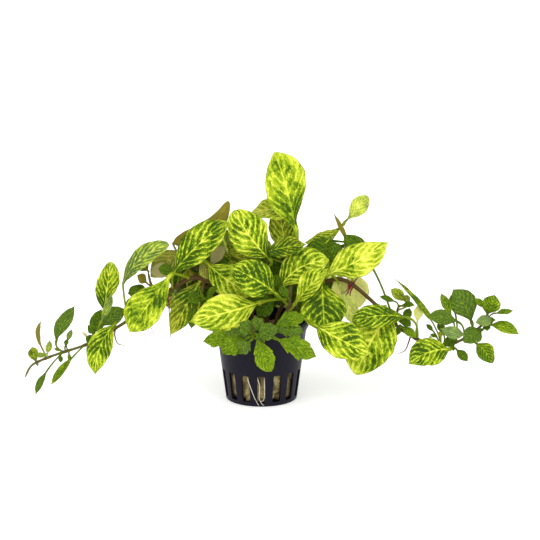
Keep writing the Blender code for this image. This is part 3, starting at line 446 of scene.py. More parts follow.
RIGHT_RUNNER = dict(
    hole=(11.0, 3.5),
    line=[
        (18, 53, 6), (28, 62, 7), (38, 66.3, 6), (44, 66.5, 5), (50, 63.5, 4), (61, 54, 3), (72, 42.5, 2),
        (82, 35, 2), (90, 31.3, 1), (100, 29.5, 0), (108, 31.5, 0), (115, 35.5, 1), (120, 40, 2),
        (125, 45, 2),
    ],
    radii=(1.5, 0.6),
    leaves=[
        Leaf("pale", (49.7, 69, 12), (49.7, 49.5, 15), 8.2, (50, 63.5, 4), sweep=-0.9, broad=0.72,
             point=3.5, neck=0.91),
        Leaf("lime", (69.3, 46.8, -4), (52, 12.5, -12), 13.6, (73, 41.5, 2), 3, sweep=0.7, broad=0.93,
             point=1.3, skew=-0.07, neck=0.73),
        Leaf("marked", (79.5, 45.3, -8), (49.8, 42.6, -15), 6.5, (86, 33, 2), 3, sweep=2.1, roll=-20,
             broad=1.49, point=-0.3, skew=0.25, neck=0.72),
        Leaf("dark", (58.5, 76, 7), (44.5, 92, 10), 6, (73, 41.8, 2), 1, broad=1, knee=0.3),
        Leaf("fair", (103.6, 27.1, -5), (81.4, 18.6, -10), 8.5, (103, 30, 0), sweep=1.8, broad=0.96,
             point=4.1, skew=0.12, neck=1.1),
        Leaf("fair", (92.8, 44, 4), (73, 66.9, 10), 2.3, (99, 29.6, 0), 1, sweep=0.5, roll=25, broad=0.48,
             point=7, neck=1),
        Leaf("dusky", (108, 42.5, -2), (91, 46, -7), 4.4, (111, 33, 0), 1.5, sweep=0.5, roll=-10),
        Leaf("dusky", (115.5, 41.7, 4), (104.6, 61, 9), 7.5, (115, 35.5, 1), 1, sweep=1, point=5),
        Leaf("green", (104.5, 45, 1), (98, 59, 5), 2.6, (106, 31, 0), 0.5),
        Leaf("green", (106.5, 46, 4), (103.5, 58, 10), 2.4, (107, 31.3, 0), 0.5),
        Leaf("green", (125, 40.9, 1), (141.5, 35.5, -3), 3.6, (121, 41, 2), sweep=-0.8, broad=1),
        Leaf("green", (127.5, 47.5, 2), (137.7, 48.9, 4), 1.8, (124, 44, 2), 0.5, wave=0.4),
        Leaf("green", (123.4, 45.9, 1), (127.6, 57.9, -2), 5.1, (124, 44.5, 2), 0.5, sweep=0.2, wave=0.6,
             broad=1.4, point=2),
        Leaf("green", (122, 50, 4), (117, 56, 7), 2, (124.5, 44.8, 2), 1),
        Leaf("green", (121.5, 42, -2), (118.5, 44, -7), 2, (122, 42, 2), 0.5),
        Leaf("light", (127, 43.8, -4), (117.5, 42.2, -8), 3.4, (122, 42, 2), 0.5, broad=1, point=2),
        Leaf("dark", (124, 42, -2), (128, 44, -6), 2.2, (123, 43, 2), 0.5),
        Leaf("dark", (123, 41, -3), (124, 37.5, -8), 2.2, (122, 42, 2), 0.5),
        Leaf("dusky", (121, 38, -4), (111, 31, -10), 5.3, (118, 38.4, 2), 1.5, broad=1, point=3),
        Leaf("green", (117.8, 30.8, -3), (127.2, 19.2, -8), 5.1, (117, 37, 1), 1, sweep=-0.5, wave=0.6,
             broad=0.95, point=1),
        Leaf("light", (112, 35.5, -8), (98, 38.8, -12), 3.5, (113, 34, 0), 1, sweep=-0.6, roll=-20,
             broad=1),
        Leaf("dark", (105.5, 27, -2), (102, 34.5, 2), 3.8, (105, 30.5, 0), 0.5),
        Leaf("dark", (106.6, 27.6, -6), (113.6, 20.2, -10), 2.7, (104, 30.2, 0), 0.5),
        Leaf("dark", (100, 36, 1), (97, 42.8, 2), 2.3, (99.5, 30, 0), 0.4),
        Leaf("olive", (98.5, 33.5, -1), (98, 37.5, 0), 1.6, (99, 29.8, 0), 0.5),
        Leaf("dark", (94.6, 37, -1), (90.3, 41.4, 0), 1.4, (97, 30, 0), 0.4),
        Leaf("dark", (96, 34, -2), (92.6, 35.5, -3), 1.2, (97, 30, 0), 0.4),
        Leaf("green", (76.5, 40.5, -2), (85, 33.6, -8), 2.6, (77, 38.8, 2), 0.5),
        Leaf("pale", (85.3, 40.8, 4), (86.3, 51.9, 8), 2.7, (84.5, 34, 2), 0.4, broad=1.6, knee=0.1,
             point=0),
        Leaf("lime", (64, 52, 10), (66, 38, 26), 7.5, (64, 51.5, 3), 3, roll=180),
        Leaf("green", (93, 33, 8), (98, 26, 22), 6, (93, 30.7, 1), roll=180),
    ],
    shoots=[
        dict(
            line=[(72, 42.5, 2), (74, 47, 1), (75, 52, 1)],
            radii=(0.8, 0.5),
            leaves=[
                Leaf("olive", (79.6, 53.6, 1), (71, 61.2, 3), 3.2, (75, 50, 1), 0.5, broad=1.3, point=1),
                Leaf("dark", (73.5, 54, -1), (64.5, 57, -5), 1.8, (75, 51, 1), 0.5),
                Leaf("dark", (77, 52, -1), (84, 52, -5), 1.8, (75, 51, 1), 1.5),
                Leaf("faded", (81.5, 53, 3), (77.5, 57.6, 6), 2.2, (75, 51.5, 1), 0.5),
                Leaf("dark", (78.4, 42.8, 3), (81.3, 50.5, 6), 2.5, (74, 45, 1), 0.5),
                Leaf("dark", (76, 44.6, -1), (82, 40, -5), 2.6, (73.5, 45, 1), 0.5),
                Leaf("dark", (77, 46, -1), (76.5, 41.5, -6), 1.8, (73.5, 45.5, 1), 0.5),
                Leaf("dark", (74.5, 40, -3), (74.5, 35, -6), 2.2, (73, 44, 1), 0.5),
            ],
        ),
    ],
    roots=[
        [(49, 64.2, 4), (47.5, 61.5, 1), (46, 59.8, 0), (43.8, 58.6, 0)],
        [(49.5, 63.8, 4), (48, 60.8, 1), (46.8, 58.6, 0), (45.6, 56.4, 0)],
        [(50.5, 63, 4), (48.8, 60, 2), (48.6, 57, 1), (50.2, 53.4, 1)],
        [(48.6, 64.6, 3), (47.4, 62.8, 1), (47.8, 60.6, 0), (47.2, 58.2, 0)],
        [(50, 64, 3), (51.2, 66, 2), (52.6, 67.6, 2), (54, 68.4, 2)],
        [(82, 35, 2), (81, 31.5, -1), (79, 26.5, -2), (75.2, 24.6, -3)],
    ],
)
PLANTLET = dict(
    hole=(-3.0, -15.0),
    line=[(-3.2, 44.5, -17), (-3.5, 44.5, -22), (-4, 40.5, -29), (-4.5, 35.5, -33)],
    radii=(1.1, 0.9),
    leaves=[
        Leaf("young_light", (-14, 33.6, -31), (-32, 31.4, -31), 5.2, (-4, 38, -31), 1.5, wave=0.6, broad=1,
             teeth=0.22),
        Leaf("young", (-7, 33.8, -35), (-21.4, 24.2, -40), 5.6, (-4.5, 35, -33), 1.5, sweep=0.8, wave=0.8,
             broad=1.5, teeth=0.3),
        Leaf("young_dark", (-5.5, 32.5, -37), (-13.3, 24.5, -41), 4.4, (-4.5, 35, -33), 1, wave=0.6,
             teeth=0.3),
        Leaf("young_light", (-2.2, 34.4, -36), (5.5, 14.7, -36), 5.6, (-4.5, 36, -33), 1.5, sweep=1.2,
             wave=0.5, broad=1.3, teeth=0.12, point=3, neck=0.9),
        Leaf("young_light", (7, 33.6, -35), (29.9, 22.7, -35), 6.2, (-4.3, 35.5, -33), 1.5, sweep=0.2,
             wave=0.7, teeth=0.3),
        Leaf("young_dark", (7, 36.5, -32), (23, 36.5, -30), 5.2, (-4.2, 37, -32), 1, sweep=-1.5, wave=0.6,
             teeth=0.38),
        Leaf("young", (6, 39.5, -30), (24.4, 45.5, -25), 4.8, (-4.1, 38, -31), 1.5, sweep=-0.5, wave=0.7,
             teeth=0.38),
        Leaf("young_dark", (-2.5, 33.5, -37), (9.5, 39.5, -43), 5.2, (-4.4, 36, -33), 1, wave=0.5, broad=1,
             teeth=0.22),
        Leaf("young_dark", (-6, 36.5, -35), (-12.5, 42, -39), 4.6, (-4.2, 37, -32), 1, wave=0.6, broad=1,
             teeth=0.3),
        Leaf("young_dark", (-4, 38, -33), (1, 44.5, -34), 4.2, (-4.1, 38, -31), 1, wave=0.6, teeth=0.22),
        Leaf("young_dark", (-8, 35.5, -32), (-20.5, 34.6, -31), 4, (-4.1, 38, -31), 1, wave=0.6, teeth=0.3),
    ],
)
STEMS = {
    "stem_front": FRONT_STEM,
    "stem_middle": MIDDLE_STEM,
    "stem_back": BACK_STEM,
    "stem_rear": REAR_STEM,
    "stem_right": RIGHT_STEM,
    "stem_upper": UPPER_STEM,
    "runner_left": LEFT_RUNNER,
    "runner_right": RIGHT_RUNNER,
    "plantlet": PLANTLET,
}


class LeafSettings(bpy.types.PropertyGroup):
    """Sizes and colours of the blades."""

    blade: FloatProperty(
        name="Blade thickness", description="Thickness of a blade between its veins", default=0.00042,
        min=0.0001, max=0.002, precision=5, unit="LENGTH",
    )
    veins: IntProperty(
        name="Side veins", description="How many side veins leave each side of the midrib", default=7, min=3,
        max=16,
    )
    lean: FloatProperty(
        name="Vein lean", description="How far up the blade a side vein has moved when it meets the margin",
        default=0.40, min=0.0, max=0.8, subtype="FACTOR",
    )
    quilt: FloatProperty(
        name="Quilting", description="How far the blade swells between its veins", default=0.00034, min=0.0,
        max=0.002, precision=5, unit="LENGTH",
    )
    gold: FloatVectorProperty(
        name="Vein colour", description="Colour of the yellow bands along the veins",
        default=(0.60, 0.665, 0.045), min=0.0, max=1.0, subtype="COLOR",
    )
    lime: FloatVectorProperty(
        name="Second vein colour", description="Greener colour that the yellow bands fade into",
        default=(0.265, 0.375, 0.012), min=0.0, max=1.0, subtype="COLOR",
    )
    green: FloatVectorProperty(
        name="Leaf green", description="Colour between the veins of a light leaf",
        default=(0.092, 0.168, 0.004), min=0.0, max=1.0, subtype="COLOR",
    )
    deep: FloatVectorProperty(
        name="Deep green", description="Colour between the veins of a dark leaf",
        default=(0.036, 0.078, 0.004), min=0.0, max=1.0, subtype="COLOR",
    )
    rust: FloatVectorProperty(
        name="Olive brown", description="Colour of the brown leaves and undersides",
        default=(0.20, 0.155, 0.018), min=0.0, max=1.0, subtype="COLOR",
    )
    # Cream is the washed-out leaves' own colour, lightened as painted light that shines through them from
    # behind.
    cream: FloatVectorProperty(
        name="Cream", description="Colour of a washed-out leaf", default=(0.90, 0.88, 0.34), min=0.0, max=1.0,
        subtype="COLOR",
    )
    blush: FloatVectorProperty(
        name="Blush", description="Colour of a withered washed-out leaf", default=(0.72, 0.60, 0.36), min=0.0,
        max=1.0, subtype="COLOR",
    )
    # A greyish leaf's own grey-green mixed with a painted sheen, which stands in for glossy reflection.
    grey_and_sheen: FloatVectorProperty(
        name="Grey green", description="Colour of the sheen on a greyish leaf", default=(0.30, 0.38, 0.18),
        min=0.0, max=1.0, subtype="COLOR",
    )
    # The brightest yellow is partly the leaf's own colour and partly painted glints of its wet surface.
    speck_and_glint: FloatVectorProperty(
        name="Bright yellow", description="Colour of the brightest veins and specks",
        default=(0.76, 0.80, 0.15), min=0.0, max=1.0, subtype="COLOR",
    )
    roughness: FloatProperty(
        name="Roughness", description="Roughness of the upper face", default=0.38, min=0.0, max=1.0,
        subtype="FACTOR",
    )


class StemSettings(bpy.types.PropertyGroup):
    """Colours of the stems and roots."""

    old: FloatVectorProperty(
        name="Old stem", description="Brown of the woody lower stem", default=(0.098, 0.046, 0.015), min=0.0,
        max=1.0, subtype="COLOR",
    )
    new: FloatVectorProperty(
        name="New stem", description="Olive green of the stem's end", default=(0.105, 0.115, 0.022), min=0.0,
        max=1.0, subtype="COLOR",
    )
    swelling: FloatProperty(
        name="Joint swelling", description="How much thicker the stem is where a leaf joins it", default=0.30,
        min=0.0, max=1.0, subtype="FACTOR",
    )
    pink: FloatVectorProperty(
        name="Young root", description="Pink of the aerial roots", default=(0.17, 0.022, 0.024), min=0.0,
        max=1.0, subtype="COLOR",
    )
    white: FloatVectorProperty(
        name="Old root", description="Cream of the roots on the pot", default=(0.62, 0.56, 0.45), min=0.0,
        max=1.0, subtype="COLOR",
    )


class PotSettings(bpy.types.PropertyGroup):
    """Finish of the pot."""

    plastic: FloatVectorProperty(
        name="Plastic", description="Near-black of the moulded plastic", default=(0.007, 0.006, 0.013),
        min=0.0, max=1.0, subtype="COLOR",
    )
    roughness: FloatProperty(
        name="Roughness", description="Roughness of the plastic", default=0.40, min=0.0, max=1.0,
        subtype="FACTOR",
    )
    steps: IntProperty(name="Steps", description="Facets round the pot", default=150, min=30, max=360)
    slot_corner: FloatProperty(
        name="Slot corner", description="Radius of the corners of a slot", default=0.0007, min=0.0001,
        max=0.002, precision=5, unit="LENGTH",
    )


class WoolSettings(bpy.types.PropertyGroup):
    """Finish of the stone wool."""

    khaki: FloatVectorProperty(
        name="Wool", description="Khaki of the wool", default=(0.36, 0.29, 0.11), min=0.0, max=1.0,
        subtype="COLOR",
    )
    damp: FloatVectorProperty(
        name="Damp wool", description="Colour of the dark wet patches", default=(0.085, 0.06, 0.022), min=0.0,
        max=1.0, subtype="COLOR",
    )
    fibres: IntProperty(
        name="Fibres", description="Loose fibres on the surface", default=700, min=0, max=3000
    )
    rough: FloatProperty(
        name="Surface roughness", description="Height of the fibrous relief", default=0.00035, min=0.0,
        max=0.001, precision=5, unit="LENGTH",
    )


class StageSettings(bpy.types.PropertyGroup):
    """Floor and light."""

    floor: FloatVectorProperty(
        name="Floor", description="Colour of the floor", default=(0.98, 0.98, 0.98), min=0.0, max=1.0,
        subtype="COLOR",
    )
    glow: FloatProperty(
        name="Floor glow", description="Light from below, as from a light table", default=0.30, min=0.0
    )
    sky: FloatProperty(
        name="Sky", description="Strength of the even light from all round", default=0.72, min=0.0, max=5.0
    )
    key: FloatProperty(
        name="Key light", description="Strength of the two soft lights from above", default=2.2, min=0.0
    )
    spread: FloatProperty(
        name="Key spread", description="How wide the soft light is: a wide one throws a soft shadow",
        default=math.radians(60), min=0.0, max=math.pi, subtype="ANGLE",
    )
    fill: FloatProperty(
        name="Fill light", description="Power of the side lamps", default=1.5, min=0.0, unit="POWER"
    )


class Shape:
    """The corners, faces and marks of a piece while it is being made, in millimetres. spot is a corner's
    place on its blade, across and along, and tone the four numbers of its look."""

    def __init__(self):
        self.corners, self.spots, self.tones, self.faces, self.finishes = [], [], [], [], []

    def corner(self, place, spot=(0.5, 0.5), tone=(0.0, 0.0, 0.0, 0.0)):
        self.corners.append(tuple(place))
        self.spots.append(spot)
        self.tones.append(tone)
        return len(self.corners) - 1

    def face(self, corners, finish=0):
        self.faces.append(corners)
        self.finishes.append(finish)

    def band(self, low, high):
        """The faces between two closed rings of corners."""
        for j in range(len(low)):
            k = (j + 1) % len(low)
            self.face((low[j], low[k], high[k], high[j]))

    def piece(self, name, finishes, slot, node):
        """The finished object, on the root body, in place of its node."""
        mesh = bpy.data.meshes.new(name)
        mesh.from_pydata([Vector(c) * MM for c in self.corners], [], self.faces)
        for finish in finishes:
            mesh.materials.append(finish)
        mesh.polygons.foreach_set("material_index", self.finishes)
        layer = mesh.uv_layers.new(name="blade")
        layer.data.foreach_set("uv", [x for loop in mesh.loops for x in self.spots[loop.vertex_index]])
        tone = mesh.attributes.new("tone", "FLOAT_VECTOR", "POINT")
        tone.data.foreach_set("vector", [x for t in self.tones for x in t[:3]])
        wash = mesh.attributes.new("wash", "FLOAT", "POINT")
        wash.data.foreach_set("value", [t[3] for t in self.tones])
        mesh.shade_smooth()
        mesh.set_sharp_from_angle(angle=SHARP)
        if mesh.validate():
            raise RuntimeError(f"{name} has faces that can't be drawn")
        return settled(bpy.data.objects.new(name, mesh), node)


def settled(obj, node):
    """The object linked into the scene, on the root body and the node that it stands for."""
    if obj.name not in bpy.context.scene.collection.objects:
        bpy.context.scene.collection.objects.link(obj)
    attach(obj, "root")
    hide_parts(node)
    return obj


def smooth_line(points, step):
    """Points every step or so along a Catmull-Rom curve through the given ones."""
    ends = [points[0] * 2 - points[1], *points, points[-1] * 2 - points[-2]]
    line = []
    for a, b, c, d in zip(ends, ends[1:], ends[2:], ends[3:]):
        count = max(1, round((c - b).length / step))
        for i in range(count):
            t = i / count
            line.append(
                b
                + 0.5 * (c - a) * t
                + (a - b * 2.5 + c * 2 - d * 0.5) * t**2
                + 0.5 * (b * 3 - a - c * 3 + d) * t**3
            )
    return [*line, points[-1]]


def nearest(line, spot):
    """The number of the line's point nearest to the spot."""
    return min(range(len(line)), key=lambda i: (line[i] - spot).length_squared)


def square_to(direction, along):
    """The direction, turned the least that sets it square to along."""
    return (direction - along * direction.dot(along)).normalized()


def bell(x, width):
    """A smooth bump of height 1 at 0."""
    return math.exp(-((x / width) ** 2))


def stalk_half(leaf):
    """Half the width of the leaf's stalk."""
    return STALK_HALF + STALK_SHARE * leaf.half


def wing_half(leaf, t):
    """Half the width of the narrow wings that the blade sends down its stalk. t is 0 at the blade's base."""
    return stalk_half(leaf) + WING_SHARE * leaf.half * max(0.0, 1 - abs(t) * 2.0) ** 2


def outline(leaf, edge, t):
    """Half the blade's width on this side, t of the way from its base to its tip."""
    fullness = leaf.neck * (1 - t) + 0.6 * t + leaf.point * max(0.0, t - 0.7) ** 2
    widest = leaf.broad + math.copysign(leaf.skew, edge)
    width = leaf.half * math.sin(math.pi * t**widest) ** fullness if 0 < t < 1 else 0.0
    # The margin wavers a little on its way.
    width *= 1 + 0.018 * math.sin(31 * t + leaf.base.x) * min(1.0, 5 * (1 - t))
    return max(width, wing_half(leaf, t) * max(0.0, 1 - t) ** 0.6, LEAST_HALF)


def notch(leaf, edge, t):
    """How much further out a tooth of the margin reaches here, as a share of the width."""
    if t <= 0:
        return 0.0
    saw = (t * TEETH_COUNT + (0.55 if edge > 0 else 0.15)) % 1.0
    return leaf.teeth * (saw - 0.6) * min(1.0, 5 * (1 - t), 3 * t) * abs(edge) ** 3


def bend(start, middle, end, t):
    """The place and the direction, t of the way along a curve from start to end drawn towards middle."""
    point = start * (1 - t) ** 2 + middle * 2 * t * (1 - t) + end * t**2
    return point, ((middle - start) * (1 - t) + (end - middle) * t).normalized()


def leaf_rows(leaf, foot, blade_rows, stalk_rows):
    """Rows across a leaf from its foot to its tip: each has the middle point, the side and face directions,
    and how far along the blade it lies, which is below 0 on the stalk."""
    chord = (leaf.tip - leaf.base).normalized()
    face = Matrix.Rotation(math.radians(leaf.roll), 3, chord) @ square_to(FRONT, chord)
    side = chord.cross(face)
    middle = (leaf.base + leaf.tip) / 2 + 2 * (face * leaf.bow + side * leaf.sweep)
    knee = leaf.base - (middle - leaf.base).normalized() * (leaf.base - foot).length * leaf.knee
    stalk = [i / stalk_rows for i in range(stalk_rows)]
    blade = [i / blade_rows for i in range(blade_rows + 1)]
    rows = [(*bend(foot, knee, leaf.base, t), t - 1) for t in stalk]
    rows += [(*bend(leaf.base, middle, leaf.tip, t), t) for t in blade]
    faced = [(point, along, square_to(face, along), t) for point, along, t in rows]
    return [(point, along.cross(outward), outward, t) for point, along, outward, t in faced]


def vein_rise(far, lean):
    """How far up the blade a side vein has moved by this share of the way out: slowly first, then faster."""
    return lean * far * (VEIN_START + (1 - VEIN_START) * far)


def relief(leaf, edge, t, half, look):
    """How far the blade stands off its smooth surface here: it swells between the veins, sinks along the
    midrib and waves along its margins."""
    if t <= 0:
        return 0.0
    size = min(1.0, leaf.half / 10)
    far = abs(edge)
    near_vein = abs(2 * ((look.veins * (t - vein_rise(far, look.lean))) % 1.0) - 1)
    fade = min(1.0, 6 * t, 5 * (1 - t)) * (1 - far**6)
    swell = look.quilt / MM * (0.35 + 0.65 * size) * (1 - near_vein**2) * fade
    groove = GROOVE_DEPTH * size * bell(edge * half, GROOVE_HALF) * (1 - t)
    ripple = RIPPLE_HEIGHT * size * far**3 * math.sin(17 * t + 3 * leaf.tip.x * edge) * min(1.0, 4 * (1 - t))
    return swell - groove + ripple


def add_leaf(shape, leaf, foot, look):
    """One leaf as a closed body with a sharp margin and a rounded stalk. Its upper face has finish 0 and its
    lower face finish 1."""
    big, middle = leaf.half >= BIG_HALF, leaf.half >= SMALL_HALF
    columns, blade_rows, stalk_rows = BIG_GRID if big else MIDDLE_GRID if middle else SMALL_GRID
    rows = []
    for point, side, face, t in leaf_rows(leaf, foot, blade_rows, stalk_rows):
        upper, lower = [], []
        body = min(1.0, max(0.0, 1 - 8 * t))
        for i in range(columns + 1):
            edge = 2 * i / columns - 1
            far = abs(edge)
            if t >= 0:
                half = outline(leaf, edge, t)
            else:
                half = wing_half(leaf, t) * (1 + 0.5 * bell(t + 1, 0.12))
            lift = far * (leaf.fold * half + leaf.wave * math.sin(11 * t + 3 * edge) * (t > 0))
            out = side * edge * half * (1 + notch(leaf, edge, t))
            place = point + out + face * (lift + relief(leaf, edge, t, half, look))
            round_stalk = 0.85 * stalk_half(leaf) * math.sqrt(max(0.0, 1 - far**2))
            leaf_half = look.blade / MM / 2 * (1 - far**8)
            rib = 0.55 * stalk_half(leaf) * bell(edge * half, 0.55) * max(0.0, 1 - t) * (1 - body)
            above = body * round_stalk + (1 - body) * leaf_half
            below = above + rib
            spot = (0.5 + edge / 2, 0.5 + t / 2)
            if i in (0, columns):
                upper.append(shape.corner(place, spot, leaf.look))
                lower.append(upper[-1])
            else:
                upper.append(shape.corner(place + face * above, spot, leaf.look))
                lower.append(shape.corner(place - face * below, spot, leaf.look))
        rows.append((upper, lower))
    for (upper, lower), (next_upper, next_lower) in zip(rows, rows[1:]):
        for i in range(columns):
            shape.face((upper[i], upper[i + 1], next_upper[i + 1], next_upper[i]), 0)
            shape.face((lower[i], next_lower[i], next_lower[i + 1], lower[i + 1]), 1)
    for (upper, lower), first in ((rows[0], True), (rows[-1], False)):
        ring = [*upper, *reversed(lower[1:-1])]
        shape.face(tuple(reversed(ring)) if first else tuple(ring), 0)


def add_tube(shape, line, radius_at, sides, tone_at):
    """A closed tube along the line. radius_at takes how far along the line a ring is, from 0 to 1, and the
    turn round it, and tone_at takes the first of them."""
    across = square_to(Vector((0.3, 0.9, 0.2)), (line[1] - line[0]).normalized())
    rings = []
    for i, spot in enumerate(line):
        along = (line[min(i + 1, len(line) - 1)] - line[max(i - 1, 0)]).normalized()
        across = square_to(across, along)
        other = along.cross(across)
        t = i / (len(line) - 1)
        ring = []
        for j in range(sides):
            turn = math.tau * j / sides
            out = across * math.cos(turn) + other * math.sin(turn)
            ring.append(shape.corner(spot + out * radius_at(t, turn), (0.5, t), tone_at(t)))
        rings.append(ring)
    for low, high in zip(rings, rings[1:]):
        shape.band(low, high)
    shape.face(tuple(reversed(rings[0])))
    shape.face(tuple(rings[-1]))


def stem_line(stem):
    """The stem's centreline: straight up out of its hole in the plug, then through its board triples."""
    spots = [seat(*spot) for spot in stem["line"]]
    if "hole" in stem:
        x, y = stem["hole"]
        spots = [Vector((x, y, PLUG_TOP - HOLE_DEPTH + 1.0)), Vector((x, y, PLUG_TOP + 1.0)), *spots]
    return smooth_line(spots, STEM_STEP)


def add_stem(shape, line, stem, joints, swelling):
    """The stem itself: it thins to its end and is thicker at each joint."""
    foot, end = stem["radii"]
    last = len(line) - 1

    def from_joint(t):
        """How many steps of the line the nearest joint is away."""
        return min(abs(t * last - joint) for joint in joints)

    def radius(t, turn):
        rib = 1 + 0.04 * math.sin(3 * turn + 9 * t) + 0.03 * math.sin(5 * turn - 31 * t)
        tip = min(1.0, 0.35 + (1 - t) * last / 3)
        return (foot + (end - foot) * t) * rib * tip * (1 + swelling * bell(from_joint(t), 1.1))

    def tone(t):
        return (t, bell(from_joint(t), 1.3), 0.0, 0.0)

    add_tube(shape, line, radius, STEM_SIDES, tone)


def add_root(shape, line, radius, taper, tone_at):
    """A thin root that loses this share of its radius by its end."""
    add_tube(shape, line, lambda t, turn: radius * (1 - taper * t), ROOT_SIDES, tone_at)


class Nodes:
    """Builds the nodes of one material. A value given to a node is a number, a colour or a node's output."""

    def __init__(self, name):
        self.finish = bpy.data.materials.new(name)
        self.finish.use_nodes = True
        self.tree = self.finish.node_tree
        self.shader = self.tree.nodes["Principled BSDF"]

    def give(self, socket, value):
        if isinstance(value, bpy.types.NodeSocket):
            self.tree.links.new(value, socket)
        elif socket.type == "RGBA":
            socket.default_value = (*value[:3], 1.0)
        else:
            socket.default_value = value

    def node(self, kind, values=(), **options):
        made = self.tree.nodes.new(kind)
        for name, option in options.items():
            setattr(made, name, option)
        for name, value in dict(values).items():
            self.give(made.inputs[name], value)
        return made

    def math(self, operation, a, b=0.0, c=0.0):
        return self.node("ShaderNodeMath", {0: a, 1: b, 2: c}, operation=operation).outputs[0]

    def add(self, *parts):
        return functools.reduce(lambda a, b: self.math("ADD", a, b), parts)

    def less(self, a, b):
        return self.math("SUBTRACT", a, b)

    def times(self, *parts):
        return functools.reduce(lambda a, b: self.math("MULTIPLY", a, b), parts)

    def most(self, *parts):
        return functools.reduce(lambda a, b: self.math("MAXIMUM", a, b), parts)

    def scaled(self, value, size, start):
        return self.math("MULTIPLY_ADD", value, size, start)

    def swing(self, value, size):
        """A value from 0 to 1 spread over this size, half of it below 0."""
        return self.scaled(value, size, -size / 2)

    def ramp(self, value, low, high, to_low=0.0, to_high=1.0):
        """The value eased from to_low at low to to_high at high."""
        values = {"Value": value, "From Min": low, "From Max": high, "To Min": to_low, "To Max": to_high}
        return self.node("ShaderNodeMapRange", values, interpolation_type="SMOOTHSTEP").outputs[0]

    def mix(self, share, a, b):
        made = self.node("ShaderNodeMix", data_type="RGBA")
        for socket, value in zip((made.inputs[0], made.inputs[6], made.inputs[7]), (share, a, b)):
            self.give(socket, value)
        return made.outputs[2]

    def noise(self, place, scale, detail=3.0, roughness=0.55):
        values = {"Vector": place, "Scale": scale, "Detail": detail, "Roughness": roughness}
        return self.node("ShaderNodeTexNoise", values).outputs[0]

    def place(self):
        return self.node("ShaderNodeTexCoord").outputs["Object"]

    def stretch(self, place, scale):
        """The place, with its three directions scaled apart."""
        return self.node("ShaderNodeMapping", {"Vector": place, "Scale": scale}).outputs[0]

    def tone(self):
        """The three numbers of the look at this place, and its wash."""
        vector = self.node("ShaderNodeAttribute", attribute_name="tone").outputs["Vector"]
        split = self.node("ShaderNodeSeparateXYZ", {0: vector}).outputs
        wash = self.node("ShaderNodeAttribute", attribute_name="wash").outputs["Fac"]
        return split[0], split[1], split[2], wash

    def close(self, colour, roughness, bump=None, strength=0.3, distance=0.0001, **settings):
        """Puts the colour, roughness and bump on the shader and sets the rest of its values."""
        self.give(self.shader.inputs["Base Color"], colour)
        self.give(self.shader.inputs["Roughness"], roughness)
        if bump is not None:
            values = {"Strength": strength, "Distance": distance, "Height": bump}
            self.give(self.shader.inputs["Normal"], self.node("ShaderNodeBump", values).outputs[0])
        for name, value in settings.items():
            self.give(self.shader.inputs[name.replace("_", " ")], value)
        return self.finish


def blade_places(n, look, wander):
    """Where a place lies on its blade: how far out from the midrib, how far along and how near to the line of
    a side vein, and then as the veins count it: which vein, how far out along it, and which half and leaf.
    How far along is below 0 on the stalk."""
    spot = n.node("ShaderNodeUVMap", uv_map="blade").outputs[0]
    across, along, _ = n.node("ShaderNodeSeparateXYZ", {0: spot}).outputs
    far = n.math("ABSOLUTE", n.swing(across, 2.0))
    t = n.swing(along, 2.0)
    steep = n.scaled(far, look.lean * (1 - VEIN_START), look.lean * VEIN_START)
    course = n.times(n.less(t, n.times(far, steep)), float(look.veins))
    course = n.add(course, n.swing(n.noise(n.place(), 260.0, 2.0), wander))
    near_vein = n.math("ABSOLUTE", n.swing(n.math("FRACT", course), 2.0))
    half = n.times(n.math("GREATER_THAN", across, 0.5), 7.0)
    leaf = n.node("ShaderNodeVectorMath", {0: n.place(), 1: LEAF_APART}, operation="DOT_PRODUCT")
    values = {0: course, 1: n.times(far, 4.5), 2: n.add(half, leaf.outputs["Value"])}
    return far, t, near_vein, n.node("ShaderNodeCombineXYZ", values).outputs[0]


